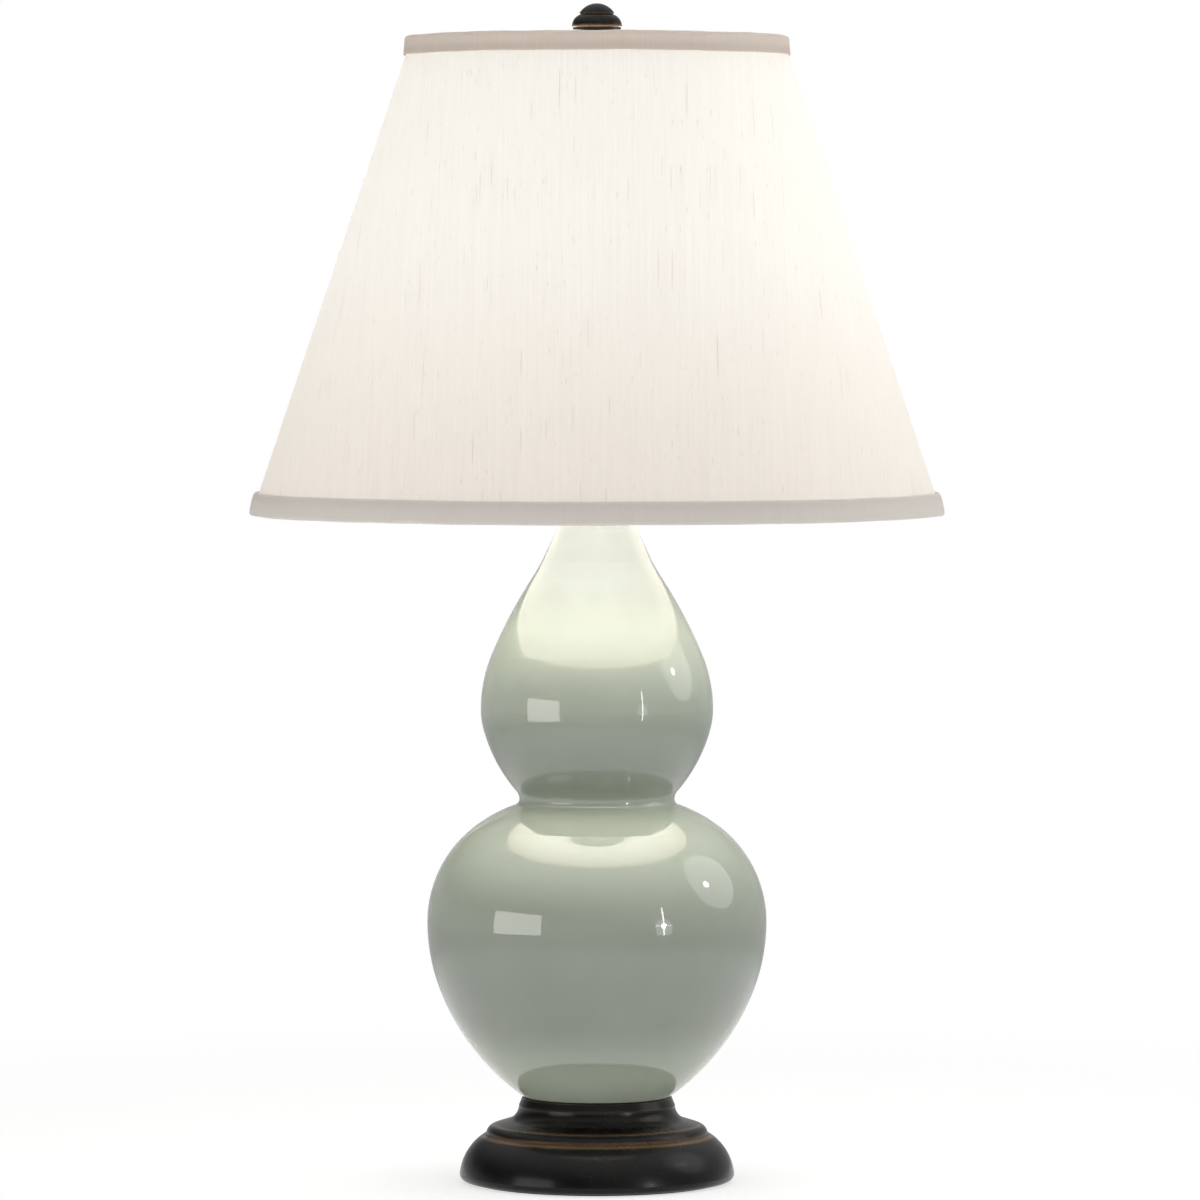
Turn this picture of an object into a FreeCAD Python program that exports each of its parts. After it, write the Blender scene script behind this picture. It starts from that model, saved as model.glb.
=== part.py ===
"""Double gourd table lamp: a glazed ceramic double gourd on a bronze base, under a pleat-free cone shade.

Frame: origin on the table under the lamp's axis, +Z up, the switch key towards -Y, the harp's loop in the
XZ plane, the cord inlet at the back (+Y). All sizes are in millimetres.
"""
import FreeCAD, Part
import math
import os

V = FreeCAD.Vector
UP = V(0, 0, 1)
FRONT = V(0, -1, 0)
BACK = V(0, 1, 0)

# ---------------------------------------------------------------- clearances
seat_gap = 0.3        # between two turned faces that nearly meet
slip_gap = 0.15       # a plain hole over a plain pin, both in one body
running_gap = 0.08    # a shaft that turns or slides in its hole
glue_gap = 0.05       # a glue line

# ---------------------------------------------------------------- felt and base
felt_inset = 6.5             # from the base's widest ring to the felt's edge
felt_thickness = 2.0
felt_recess = 1.0            # how deep the felt sits in the foot
base_radius = 67.5           # the widest ring, just above the foot
foot_edge_height = 3.4
foot_edge_inset = 2.3
foot_edge_bulge = 0.35       # each bulge is an arc's sagitta over half its chord
foot_width = 9.0             # metal ring round the hollow underside
skirt_height = 21.9          # from the foot to the top of the curved skirt
skirt_top_radius = 56.3
skirt_bulge = 0.22
shoulder_step = 1.3          # small riser between the skirt and the shoulder
shoulder_step_bulge = -0.12
shoulder_radius = 54.5
shoulder_height = 4.1
shoulder_bulge = 0.30
shelf_edge_radius = 50.6
shelf_rise = 2.1
shelf_inner_radius = 44.0
cove_height = 7.4
cove_bulge = -0.33
cove_top_radius = 38.4
collar_rise = 4.4            # from the cove to the collar's rim
collar_radius = 36.9
collar_edge = 0.8            # rounding of the collar's rim
seat_radius = 34.3           # rebate in the collar that holds the gourd's foot
seat_depth = 4.0
base_wall = 4.5
base_hollow_drop = 7.2       # from the shelf down to the hollow under the shoulder
base_core_inset = 2.5        # from the seat's radius to the hollow under the collar
plate_thickness = 4.2        # web in the collar that the pipe passes through

# ---------------------------------------------------------------- cord inlet in the back of the base
inlet_height = 10.5
inlet_hole_radius = 3.2
bushing_radius = 4.4
bushing_flange_radius = 6.0
bushing_flange = 2.0
bushing_tail = 1.0           # sleeve that stands in past the foot's metal
spot_face_depth = 5.5        # from the base's widest ring to the flange's seat

# ---------------------------------------------------------------- threaded pipe and its fastenings
pipe_radius = 4.85
pipe_bore_radius = 3.4
pipe_tail = 2.5              # pipe that stands out below the nut
pipe_in_cap = 6.0            # pipe inside the socket cap's hub
base_washer_radius = 12.0
base_washer_thickness = 1.5
nut_across_flats = 14.3
base_nut_thickness = 5.0
seat_washer_thickness = 1.5
seat_washer_bore = 12.0

# ---------------------------------------------------------------- ceramic double gourd
gourd_wall = 5.0
gourd_floor = 5.7
gourd_hole_radius = 10.0     # hole in the floor round the pipe
gourd_foot_radius = 36.8     # where the glazed outline starts, on the collar
lower_belly_radius = 83.3
lower_belly_height = 85.5    # above the collar
waist_radius = 40.3          # where the lower lobe ends in the waist's fillet
waist_height = 142.95
waist_fillet_height = 6.95   # height of the small fillet between the lobes
waist_top_radius = 39.6
upper_belly_radius = 57.0
upper_belly_height = 190.2
neck_radius = 31.8           # where the upper lobe turns into the hollowed neck
neck_height = 254.5
mouth_radius = 14.0
mouth_height = 293.5
mouth_rim = 1.5
# leans from the vertical, in degrees, outward positive, at the stations above
foot_lean = 54.2
belly_lean = 0.0
waist_lean = -70.5
waist_top_lean = 40.9
neck_lean = -33.2
mouth_lean = -18.7
# length of the first arc of the pair that leaves a station, as a share of the way to the next
foot_lead = 0.354
lower_belly_lead = 0.40
waist_lead = 0.35
waist_top_lead = 0.39
upper_belly_lead = 0.20
neck_lead = 0.117

# ---------------------------------------------------------------- stack on the gourd's mouth
vase_cap_radius = 17.0
vase_cap_thickness = 1.4
vase_cap_skirt = 2.6
spool_height = 8.0
spool_radius = 8.0
spool_waist_radius = 6.4
spool_rim = 1.2              # height of the rim at each end
spool_cove = 2.4             # from an end to the narrow middle
spool_cove_bulge = -0.15
check_ring_height = 4.0
check_ring_radius = 8.4
flute_count = 12             # flutes that let fingers grip the check ring
flute_radius = 1.3
flute_setback = 0.8          # from the nut's edge out to a flute's centre

# ---------------------------------------------------------------- harp saddle, harp and swivel stud
saddle_thickness = 1.6
saddle_width = 8.0
saddle_hub_radius = 9.5
saddle_bend = 3.0            # inside radius of the two bends
saddle_rise = 9.1            # from the saddle's underside to the harp's feet
prong_width = 3.6
prong_height = 11.5
harp_half_foot = 28.0        # from the lamp's axis to each leg
harp_foot_radius = 3.4
harp_foot_height = 14.0
harp_height = 203.1          # from the saddle's underside to the shade's seat
harp_half_width = 57.0
harp_wire_radius = 2.2
harp_straight = 14.5         # straight wire above each foot, where the ferrule slides up
harp_flare_height = 60.0     # over which a leg swings out to the full width
harp_flare_lead = 0.45       # where the two arcs of the swing meet
harp_side_height = 30.0      # nearly straight wire at the full width
harp_top_lead = 0.42
crown_length = 14.0
crown_width = 9.0
crown_height = 6.0
crown_rounding = 2.25
ferrule_wall = 0.9
ferrule_length = 13.0
ferrule_bead = 0.5
stud_shank_radius = 2.4
stud_head_radius = 4.0
stud_head_height = 1.3
stud_collar_radius = 6.0
stud_collar_height = 1.9
stud_thread_radius = 3.15
stud_thread_length = 9.8
stud_chamfer = 0.5

# ---------------------------------------------------------------- socket, heights above the saddle
cap_radius = 17.3
cap_height = 22.0
cap_wall = 0.8
cap_hub_radius = 7.2
cap_hub_height = 6.2
cap_shoulder_inset = 2.5     # the cup's shoulder, from the rim's radius
cap_shoulder_rise = 5.2      # and above the hub
cap_bowl_rise = 8.4          # above the hub, where the cup's straight rim starts
cap_flare_bulge = -0.25
shell_radius = 16.3
shell_wall = 0.8
shell_bottom = 16.0
shell_top = 66.0
shell_bead = 0.6
liner_thickness = 0.5
liner_setback = 1.5          # from the shell's mouth down to the liner's edge
body_radius = 14.5
body_height = 23.5
body_flat = 11.0             # from the axis to the flats that carry the terminals
body_flat_height = 14.1
terminal_height = 7.05       # above the body's underside
thread_shell_radius = 14.0
thread_shell_wall = 0.6
thread_shell_height = 22.3
thread_shell_eye = 9.1       # radius of the hole in its bottom flange
tongue_width = 5.0
tongue_length = 8.0
tongue_thickness = 0.6
tongue_kink = 1.6            # from the middle back to the kink in the strip
terminal_head_radius = 3.0
terminal_head_height = 1.8
terminal_shank_radius = 1.5
terminal_shank_length = 5.0
set_screw_radius = 1.5
set_screw_head_radius = 2.3
set_screw_head_height = 1.6
set_screw_stand = 1.0        # from the hub to the head
set_screw_slot = 0.6         # width of the slot, and its depth
switch_height = 28.0
switch_shaft_radius = 2.5
switch_shaft_inside = 8.0    # length of shaft held inside the socket body
switch_slot_half = 4.0
key_reach = 36.0             # from the lamp's axis to the key's tip
key_length = 15.0
key_radius = 6.2
key_half_thickness = 2.3
key_collar_length = 4.0
key_collar_radius = 4.65
key_boss_wall = 1.2          # round the shaft's end

# ---------------------------------------------------------------- light bulb
bulb_length = 108.0          # from the contact's tip to the top of the glass
bulb_globe_radius = 30.0
bulb_cap_radius = 13.0
bulb_cap_wall = 0.5
bulb_cap_height = 22.5
bulb_cap_taper = 2.2         # height over which the cap narrows to the insulator
bulb_cap_flange = 1.5        # turned in over the insulator
bulb_contact_radius = 4.6
bulb_contact_edge = 0.8
bulb_contact_height = 1.4
bulb_insulator_height = 3.2
bulb_insulator_radius = 9.8
bulb_glass_wall = 0.8
bulb_neck_depth = 6.5        # glass inside the cap
bulb_shoulder_radius = 20.5
bulb_shoulder_height = 51.0  # above the contact's tip
bulb_shoulder_lean = 30.0
bulb_lip = 1.0               # straight glass above the cap
bulb_neck_lead = 0.5
bulb_belly_lead = 0.4
bulb_stem_height = 20.0
bulb_stem_flare = 8.0        # height and foot radius of the stem's flare
bulb_stem_flare_radius = 7.35
bulb_stem_radius = 3.2
bulb_rod_radius = 1.5
bulb_rod_height = 36.0
filament_half = 13.0
filament_height = 69.0       # above the contact's tip
filament_radius = 0.5
lead_radius = 0.4
contact_gap = 0.3

# ---------------------------------------------------------------- shade
shade_height = 234.0
shade_top_radius = 90.8
shade_bottom_radius = 169.5
shade_rim_rise = 8.0         # from the harp's seat to the shade's rim
fabric_thickness = 0.7
liner_sheet = 0.7
frame_wire_radius = 1.9
arm_radius = 1.6
arm_count = 3
arm_first_angle = 90.0       # the first arm points to the back
spider_washer_radius = 10.5
spider_washer_thickness = 1.8
spider_hole_radius = 3.5
tape_thickness = 0.8         # folded tape over each rim
top_tape_height = 9.6
top_tape_proud = 0.8         # how far the tape stands out at its free edge
top_tape_rim_proud = 3.0     # and at the rim, where it is folded over
bottom_tape_height = 11.2
bottom_tape_proud = 2.1
bottom_tape_rim_proud = 1.3
tape_edge = 1.3              # rounding of the folded rim
tape_crown = 0.02            # slight swelling of the tape's face

# ---------------------------------------------------------------- finial
finial_height = 22.2
finial_foot_radius = 8.2
finial_foot_height = 1.6
finial_foot_bead = 0.6       # how far the foot's upper edge stands over the waist
finial_waist_radius = 6.0
finial_waist_height = 4.6
finial_skirt_radius = 11.8
finial_skirt_height = 9.4    # underside of the lower dome
finial_lip_height = 10.7
finial_lip_radius = 12.2
finial_lip_thickness = 1.0
finial_step_height = 16.9    # notch between the lower and the upper dome
finial_step_radius = 7.8
finial_dome_radius = 8.5
finial_dome_lift = 0.7
finial_dome_edge = 0.3
finial_skirt_edge = 1.6      # underside of the lower dome, from its edge
insert_wall = 1.35
insert_length = 8.9
insert_inset = 0.3

# ---------------------------------------------------------------- sizes worked out from those above
felt_radius = base_radius - felt_inset
z_foot = felt_thickness - felt_recess
z_skirt = z_foot + skirt_height
z_shoulder = z_skirt + shoulder_step
z_shelf = z_shoulder + shoulder_height
z_cove = z_shelf + shelf_rise
z_cove_top = z_cove + cove_height
z_collar = z_cove_top + collar_rise
z_seat = z_collar - seat_depth
z_plate = z_seat - plate_thickness
z_nut = z_plate - base_washer_thickness - base_nut_thickness
z_gourd = z_collar + seat_gap
z_gourd_foot = z_seat + seat_washer_thickness
z_mouth = z_gourd + mouth_height + mouth_rim
z_spool = z_mouth + vase_cap_thickness
z_check_ring = z_spool + spool_height
z_saddle = z_check_ring + check_ring_height
z_socket = z_saddle + saddle_thickness
z_harp_foot = z_saddle + saddle_rise
z_harp_wire = z_harp_foot + harp_foot_height
z_shade_seat = z_saddle + harp_height
z_crown_top = z_shade_seat - stud_collar_height - glue_gap
z_crown = z_crown_top - crown_height
z_rim = z_shade_seat + shade_rim_rise
z_shade_bottom = z_rim - shade_height
z_finial = z_shade_seat + spider_washer_thickness
z_body = z_socket + shell_bottom + 1.0
z_thread_shell = z_body + body_height + glue_gap
z_switch = z_socket + switch_height
z_bulb = z_thread_shell + 3 * tongue_thickness + contact_gap
z_cap_top = z_bulb + bulb_contact_height + bulb_insulator_height + 2 * glue_gap + bulb_cap_height
pipe_hole_radius = pipe_radius + slip_gap
shade_slope = (shade_bottom_radius - shade_top_radius) / shade_height


quarter = math.tan(math.pi / 8)   # bulge of a quarter circle
soft_bulge = 0.35                 # bulge of a folded or cast edge
slight_bulge = 0.3


# ---------------------------------------------------------------- outlines in the (radius, height) half plane
def at(r, z):
    return V(r, 0, z)


def line(p, q):
    return Part.LineSegment(p, q).toShape()


def bulged(p, q, bulge):
    """Arc from p to q that swells to the right of the way by bulge times half the chord."""
    if abs(bulge) < 1e-9:
        return line(p, q)
    chord = q - p
    right = V(chord.z, 0, -chord.x) * 0.5
    middle = (p + q) * 0.5 + right * bulge
    return Part.Arc(p, middle, q).toShape()


def outline(points):
    """Closed outline from (r, z) or (r, z, bulge) points; a bulge belongs to the edge that leaves its point."""
    edges = []
    for here, after in zip(points, points[1:] + points[:1]):
        bulge = here[2] if len(here) > 2 else 0.0
        edges.append(bulged(at(here[0], here[1]), at(after[0], after[1]), bulge))
    return edges


def turned(edges):
    """Solid of revolution about the lamp's axis."""
    face = Part.Face(Part.Wire(edges))
    return face.revolve(V(0, 0, 0), UP, 360)


def leaning(degrees):
    """Unit direction that leans by so many degrees from the vertical."""
    angle = math.radians(degrees)
    return V(math.sin(angle), 0, math.cos(angle))


def tangent_arc(p, way, q):
    """Arc from p to q that leaves p in the direction way."""
    chord = q - p
    side = V(-way.z, 0, way.x)
    reach = side.dot(chord)
    if abs(reach) < 1e-6 * chord.Length:
        return line(p, q)
    radius = chord.dot(chord) / (2 * reach)
    centre = p + side * radius
    outward = (p - centre) + (q - centre)
    outward.normalize()
    middle = centre + outward * abs(radius)
    return Part.Arc(p, middle, q).toShape()


def two_arcs(p, p_way, q, q_way, lead):
    """Two arcs that meet smoothly: they leave p along p_way and reach q along q_way."""
    chord = q - p
    d1 = lead * chord.Length
    d2 = (0.5 * chord.dot(chord) - d1 * chord.dot(p_way)) / (chord.dot(q_way) - d1 * (p_way.dot(q_way) - 1))
    corner1 = p + p_way * d1
    corner2 = q - q_way * d2
    meet = (corner1 * d2 + corner2 * d1) * (1.0 / (d1 + d2))
    way = corner2 - corner1
    way.normalize()
    return [tangent_arc(p, p_way, meet), tangent_arc(meet, way, q)]


def rod(p, q, radius):
    """Round bar from p to q."""
    return Part.makeCylinder(radius, (q - p).Length, p, q - p)


def ring(radius, wire_radius, z):
    return Part.makeTorus(radius, wire_radius, V(0, 0, z), UP)


def tube(inner, outer, z, height):
    return turned(outline([(inner, z), (outer, z), (outer, z + height), (inner, z + height)]))


def hexagon(across_flats, bore, z, height):
    corner = across_flats / math.sqrt(3)
    points = []
    for i in range(7):
        angle = math.radians(60 * i)
        points.append(V(corner * math.cos(angle), corner * math.sin(angle), z))
    block = Part.Face(Part.makePolygon(points)).extrude(V(0, 0, height))
    return block.cut(Part.makeCylinder(bore, height, V(0, 0, z)))


# ---------------------------------------------------------------- felt, base and cord inlet
def base_felt():
    return Part.makeCylinder(felt_radius, felt_thickness)


def base():
    """Hollow casting: foot ring, curved skirt, shoulder, shelf, cove and the collar that holds the gourd."""
    hollow_radius = base_radius - foot_width
    core_radius = seat_radius - base_core_inset
    casting = turned(outline([
        (felt_radius + slip_gap, z_foot),
        (base_radius - foot_edge_inset, z_foot, foot_edge_bulge),
        (base_radius, z_foot + foot_edge_height, skirt_bulge),
        (skirt_top_radius, z_skirt, shoulder_step_bulge),
        (shoulder_radius, z_shoulder, shoulder_bulge),
        (shelf_edge_radius, z_shelf),
        (shelf_inner_radius, z_cove, cove_bulge),
        (cove_top_radius, z_cove_top),
        (collar_radius, z_collar - collar_edge, quarter),
        (collar_radius - collar_edge, z_collar),
        (seat_radius, z_collar),
        (seat_radius, z_seat),
        (pipe_hole_radius, z_seat),
        (pipe_hole_radius, z_plate),
        (core_radius, z_plate),
        (core_radius, z_cove - base_wall),
        (shoulder_radius - base_wall, z_shelf - base_hollow_drop),
        (hollow_radius, z_foot + 0.5 * skirt_height),
        (hollow_radius, felt_thickness),
        (felt_radius + slip_gap, felt_thickness),
    ]))
    seat = V(0, base_radius - spot_face_depth, inlet_height)
    spot_face = Part.makeCylinder(bushing_flange_radius + seat_gap, base_radius, seat, BACK)
    hole = Part.makeCylinder(bushing_radius + glue_gap, base_wall + foot_width, seat, FRONT)
    return casting.cut(spot_face).cut(hole)


def cord_bushing():
    """Flanged sleeve in the back of the base; its bore is where a cord comes in."""
    y_flange = base_radius - spot_face_depth
    y_inside = base_radius - foot_width - bushing_tail
    seat = V(0, y_flange, inlet_height)
    sleeve = Part.makeCylinder(bushing_radius, y_flange - y_inside, seat, FRONT)
    flange_tip = bushing_flange_radius - 0.5 * bushing_flange
    flange = Part.makeCone(bushing_flange_radius, flange_tip, bushing_flange, seat, BACK)
    outside = V(0, base_radius + foot_width, inlet_height)
    bore = Part.makeCylinder(inlet_hole_radius, 3 * foot_width, outside, FRONT)
    return sleeve.fuse(flange).cut(bore).removeSplitter()


# ---------------------------------------------------------------- pipe and fastenings
def lamp_pipe():
    bottom = z_nut - pipe_tail
    return tube(pipe_bore_radius, pipe_radius, bottom, z_socket + pipe_in_cap - bottom)


def base_washer():
    return tube(pipe_hole_radius, base_washer_radius, z_plate - base_washer_thickness, base_washer_thickness)


def base_nut():
    return hexagon(nut_across_flats, pipe_radius + glue_gap, z_nut, base_nut_thickness)


def seat_washer():
    return tube(seat_washer_bore, seat_radius - seat_gap, z_seat, seat_washer_thickness)


# ---------------------------------------------------------------- ceramic gourd
def gourd_stations():
    """Radius, height and lean of the outline, and how far each first arc of a pair leads."""
    return [
        (gourd_foot_radius, z_gourd, foot_lean, foot_lead),
        (lower_belly_radius, z_gourd + lower_belly_height, belly_lean, lower_belly_lead),
        (waist_radius, z_gourd + waist_height, waist_lean, waist_lead),
        (waist_top_radius, z_gourd + waist_height + waist_fillet_height, waist_top_lean, waist_top_lead),
        (upper_belly_radius, z_gourd + upper_belly_height, belly_lean, upper_belly_lead),
        (neck_radius, z_gourd + neck_height, neck_lean, neck_lead),
        (mouth_radius, z_gourd + mouth_height, mouth_lean, 0.0),
    ]


def gourd_side(inset):
    """Arcs of the gourd's side from foot to mouth, moved into the wall by inset, and their two ends."""
    places = []
    for r, z, lean, lead in gourd_stations():
        way = leaning(lean)
        places.append((at(r, z) + V(-way.z, 0, way.x) * inset, way, lead))
    edges = []
    for (p, p_way, lead), (q, q_way, _) in zip(places, places[1:]):
        edges += two_arcs(p, p_way, q, q_way, lead)
    return edges, places[0][0], places[-1][0]


def gourd_body():
    """Slip-cast shell, open at the mouth and round the pipe in its floor."""
    outside, foot, mouth = gourd_side(0.0)
    inside, inner_foot, inner_mouth = gourd_side(gourd_wall)
    foot_ring = seat_radius - seat_gap - slip_gap
    floor_top = z_gourd_foot + gourd_floor
    rim_out = at(mouth.x - mouth_rim, mouth.z + mouth_rim)
    rim_in = at(inner_mouth.x, mouth.z + mouth_rim)
    edges = list(outside)
    edges.append(bulged(mouth, rim_out, soft_bulge))
    edges.append(line(rim_out, rim_in))
    edges.append(line(rim_in, inner_mouth))
    edges += list(inside)
    corners = [
        inner_foot,
        at(inner_foot.x - gourd_wall, floor_top),
        at(gourd_hole_radius, floor_top),
        at(gourd_hole_radius, z_gourd_foot),
        at(foot_ring, z_gourd_foot),
        at(foot_ring, z_gourd),
        foot,
    ]
    for p, q in zip(corners, corners[1:]):
        edges.append(line(p, q))
    return turned(Part.__sortEdges__(edges))


# ---------------------------------------------------------------- metal stack on the mouth
def vase_cap():
    """Shallow spun cap over the gourd's mouth, with a short skirt."""
    top = z_mouth + vase_cap_thickness
    return turned(outline([
        (pipe_hole_radius, z_mouth),
        (vase_cap_radius - vase_cap_thickness, z_mouth),
        (vase_cap_radius - vase_cap_thickness, z_mouth - vase_cap_skirt),
        (vase_cap_radius, z_mouth - vase_cap_skirt),
        (vase_cap_radius, z_mouth, quarter),
        (vase_cap_radius - vase_cap_thickness, top),
        (pipe_hole_radius, top),
    ]))


def neck_spool():
    return turned(outline([
        (pipe_hole_radius, z_spool),
        (spool_radius, z_spool),
        (spool_radius, z_spool + spool_rim),
        (spool_waist_radius, z_spool + spool_cove, spool_cove_bulge),
        (spool_waist_radius, z_check_ring - spool_cove),
        (spool_radius, z_check_ring - spool_rim),
        (spool_radius, z_check_ring),
        (pipe_hole_radius, z_check_ring),
    ]))


def check_ring():
    """Round nut with a fluted edge, run down the pipe to clamp the gourd."""
    nut = tube(pipe_radius + glue_gap, check_ring_radius, z_check_ring, check_ring_height)
    for i in range(flute_count):
        angle = 2 * math.pi * i / flute_count
        place = V(math.cos(angle), math.sin(angle), 0) * (check_ring_radius + flute_setback)
        place += V(0, 0, z_check_ring)
        nut = nut.cut(Part.makeCylinder(flute_radius, check_ring_height, place))
    return nut


# ---------------------------------------------------------------- harp saddle, harp and stud
def strip(x_out, z_low, z_high, thickness, bend):
    """Outline of a bent strip seen from the front: flat bottom, one bend, one upright."""
    x_in = x_out - thickness
    outer = bend + thickness
    turn = math.sqrt(0.5)
    edges = [
        line(V(0, 0, z_low), V(x_out - outer, 0, z_low)),
        Part.Arc(
            V(x_out - outer, 0, z_low),
            V(x_out - outer + outer * turn, 0, z_low + outer - outer * turn),
            V(x_out, 0, z_low + outer),
        ).toShape(),
        line(V(x_out, 0, z_low + outer), V(x_out, 0, z_high)),
        line(V(x_out, 0, z_high), V(x_in, 0, z_high)),
        line(V(x_in, 0, z_high), V(x_in, 0, z_low + outer)),
        Part.Arc(
            V(x_in, 0, z_low + outer),
            V(x_in - bend + bend * turn, 0, z_low + outer - bend * turn),
            V(x_in - bend, 0, z_low + thickness),
        ).toShape(),
        line(V(x_in - bend, 0, z_low + thickness), V(0, 0, z_low + thickness)),
        line(V(0, 0, z_low + thickness), V(0, 0, z_low)),
    ]
    return Part.Face(Part.Wire(edges))


def mirrored(shape):
    return shape.mirror(V(0, 0, 0), V(1, 0, 0))


def harp_saddle():
    """Bent strip under the socket, with a prong at each end that the harp's foot slides over."""
    x_out = harp_half_foot + 0.5 * saddle_thickness
    half = strip(x_out, z_saddle, z_harp_foot, saddle_thickness, saddle_bend)
    half.translate(V(0, -0.5 * saddle_width, 0))
    arm = half.extrude(V(0, saddle_width, 0))
    prong = Part.makeBox(
        saddle_thickness, prong_width, prong_height + saddle_bend,
        V(x_out - saddle_thickness, -0.5 * prong_width, z_harp_foot - saddle_bend),
    )
    side = arm.fuse(prong)
    hub = Part.makeCylinder(saddle_hub_radius, saddle_thickness, V(0, 0, z_saddle))
    hole = Part.makeCylinder(pipe_hole_radius, saddle_thickness, V(0, 0, z_saddle))
    return side.fuse(mirrored(side)).fuse(hub).cut(hole).removeSplitter()


def harp_foot():
    """Round foot of a leg, slotted to slide over the saddle's prong."""
    low = V(harp_half_foot, 0, z_harp_foot)
    foot = Part.makeCylinder(harp_foot_radius, harp_foot_height, low)
    slot_x = saddle_thickness + 2 * slip_gap
    slot_y = prong_width + 2 * slip_gap
    slot = Part.makeBox(
        slot_x, slot_y, prong_height + seat_gap,
        V(harp_half_foot - 0.5 * slot_x, -0.5 * slot_y, z_harp_foot),
    )
    return foot.cut(slot)


def harp_leg():
    """Bent wire from the foot up, out to the full width and in again to the crown."""
    x_crown = 0.5 * crown_length
    z_end = z_crown + 0.5 * crown_height
    start = V(harp_half_foot, 0, z_harp_wire)
    p1 = V(harp_half_foot, 0, z_harp_wire + harp_straight)
    p2 = V(harp_half_width, 0, p1.z + harp_flare_height)
    p3 = V(harp_half_width, 0, p2.z + harp_side_height)
    end = V(x_crown, 0, z_end)
    edges = [line(start, p1)]
    edges += two_arcs(p1, UP, p2, UP, harp_flare_lead)
    edges.append(line(p2, p3))
    edges += two_arcs(p3, UP, end, V(-1, 0, 0), harp_top_lead)
    path = Part.Wire(edges)
    section = Part.Wire(Part.makeCircle(harp_wire_radius, start, UP))
    return path.makePipeShell([section], True, False)


def harp_crown():
    """Brass block at the top of the loop, bored for the swivel stud."""
    block = Part.makeBox(
        crown_length, crown_width, crown_height,
        V(-0.5 * crown_length, -0.5 * crown_width, z_crown),
    )
    upright = [e for e in block.Edges if abs(e.tangentAt(e.FirstParameter).z) > 0.9]
    block = block.makeFillet(crown_rounding, upright)
    return block.cut(Part.makeCylinder(stud_shank_radius + running_gap, crown_height, V(0, 0, z_crown)))


def ferrule():
    """Sleeve that drops over a foot and the prong inside it."""
    inner = harp_foot_radius + running_gap
    outer = inner + ferrule_wall
    low = z_harp_foot + glue_gap
    sleeve = turned(outline([
        (inner, low),
        (outer, low),
        (outer + ferrule_bead, low + ferrule_bead, quarter),
        (outer + ferrule_bead, low + 2 * ferrule_bead),
        (outer, low + 3 * ferrule_bead),
        (outer, low + ferrule_length),
        (inner, low + ferrule_length),
    ]))
    sleeve.translate(V(harp_half_foot, 0, 0))
    return sleeve


def harp_stud():
    """Swivel stud: head under the crown, collar that carries the shade, and the thread for the finial."""
    z_head = z_crown - glue_gap - stud_head_height
    return turned(outline([
        (0, z_head),
        (stud_head_radius, z_head),
        (stud_head_radius, z_crown - glue_gap),
        (stud_shank_radius, z_crown - glue_gap),
        (stud_shank_radius, z_crown_top + glue_gap),
        (stud_collar_radius, z_crown_top + glue_gap),
        (stud_collar_radius, z_shade_seat),
        (stud_thread_radius, z_shade_seat),
        (stud_thread_radius, z_shade_seat + stud_thread_length - stud_chamfer),
        (stud_thread_radius - stud_chamfer, z_shade_seat + stud_thread_length),
        (0, z_shade_seat + stud_thread_length),
    ]))


# ---------------------------------------------------------------- socket
def switch_slot(z_low):
    """Slot at the front of the shell and its liner, open downwards, for the switch shaft."""
    depth = 2 * shell_radius
    corner = V(-switch_slot_half, -depth, z_low)
    box = Part.makeBox(2 * switch_slot_half, depth, z_switch - z_low, corner)
    return box.fuse(Part.makeCylinder(switch_slot_half, depth, V(0, 0, z_switch), FRONT))


def socket_cap():
    """Spun brass cup with the hub that screws on the pipe."""
    z = z_socket
    z_hub = z + cap_hub_height
    z_floor = z_hub + 1.5 * cap_wall
    inner = cap_radius - cap_wall
    rim = z + cap_height
    cup = turned(outline([
        (pipe_radius + glue_gap, z),
        (cap_hub_radius, z),
        (cap_hub_radius, z_hub, cap_flare_bulge),
        (cap_radius - cap_shoulder_inset, z_hub + cap_shoulder_rise, slight_bulge),
        (cap_radius, z_hub + cap_bowl_rise),
        (cap_radius, rim),
        (inner, rim),
        (inner, z_hub + cap_bowl_rise, -slight_bulge),
        (inner - cap_shoulder_inset, z_hub + cap_shoulder_rise + cap_wall, -cap_flare_bulge),
        (cap_hub_radius - cap_wall, z_floor),
        (pipe_bore_radius + slip_gap, z_floor),
        (pipe_bore_radius + slip_gap, z + pipe_in_cap + slip_gap),
        (pipe_radius + glue_gap, z + pipe_in_cap + slip_gap),
    ]))
    middle = V(0, 0, z + 0.5 * cap_hub_height)
    hole = Part.makeCylinder(set_screw_radius + glue_gap, 2 * cap_hub_radius, middle, BACK)
    return cup.cut(hole)


def set_screw():
    """Small screw at the back of the hub that locks the cap on the pipe."""
    z = z_socket + 0.5 * cap_hub_height
    y_tip = pipe_radius + glue_gap
    y_head = cap_hub_radius + set_screw_stand
    shank = Part.makeCylinder(set_screw_radius, y_head - y_tip, V(0, y_tip, z), BACK)
    head = Part.makeCylinder(set_screw_head_radius, set_screw_head_height, V(0, y_head, z), BACK)
    slot = Part.makeBox(
        2 * set_screw_head_radius, set_screw_slot, set_screw_slot,
        V(-set_screw_head_radius, y_head + set_screw_head_height - set_screw_slot, z - 0.5 * set_screw_slot),
    )
    return shank.fuse(head).cut(slot).removeSplitter()


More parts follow.
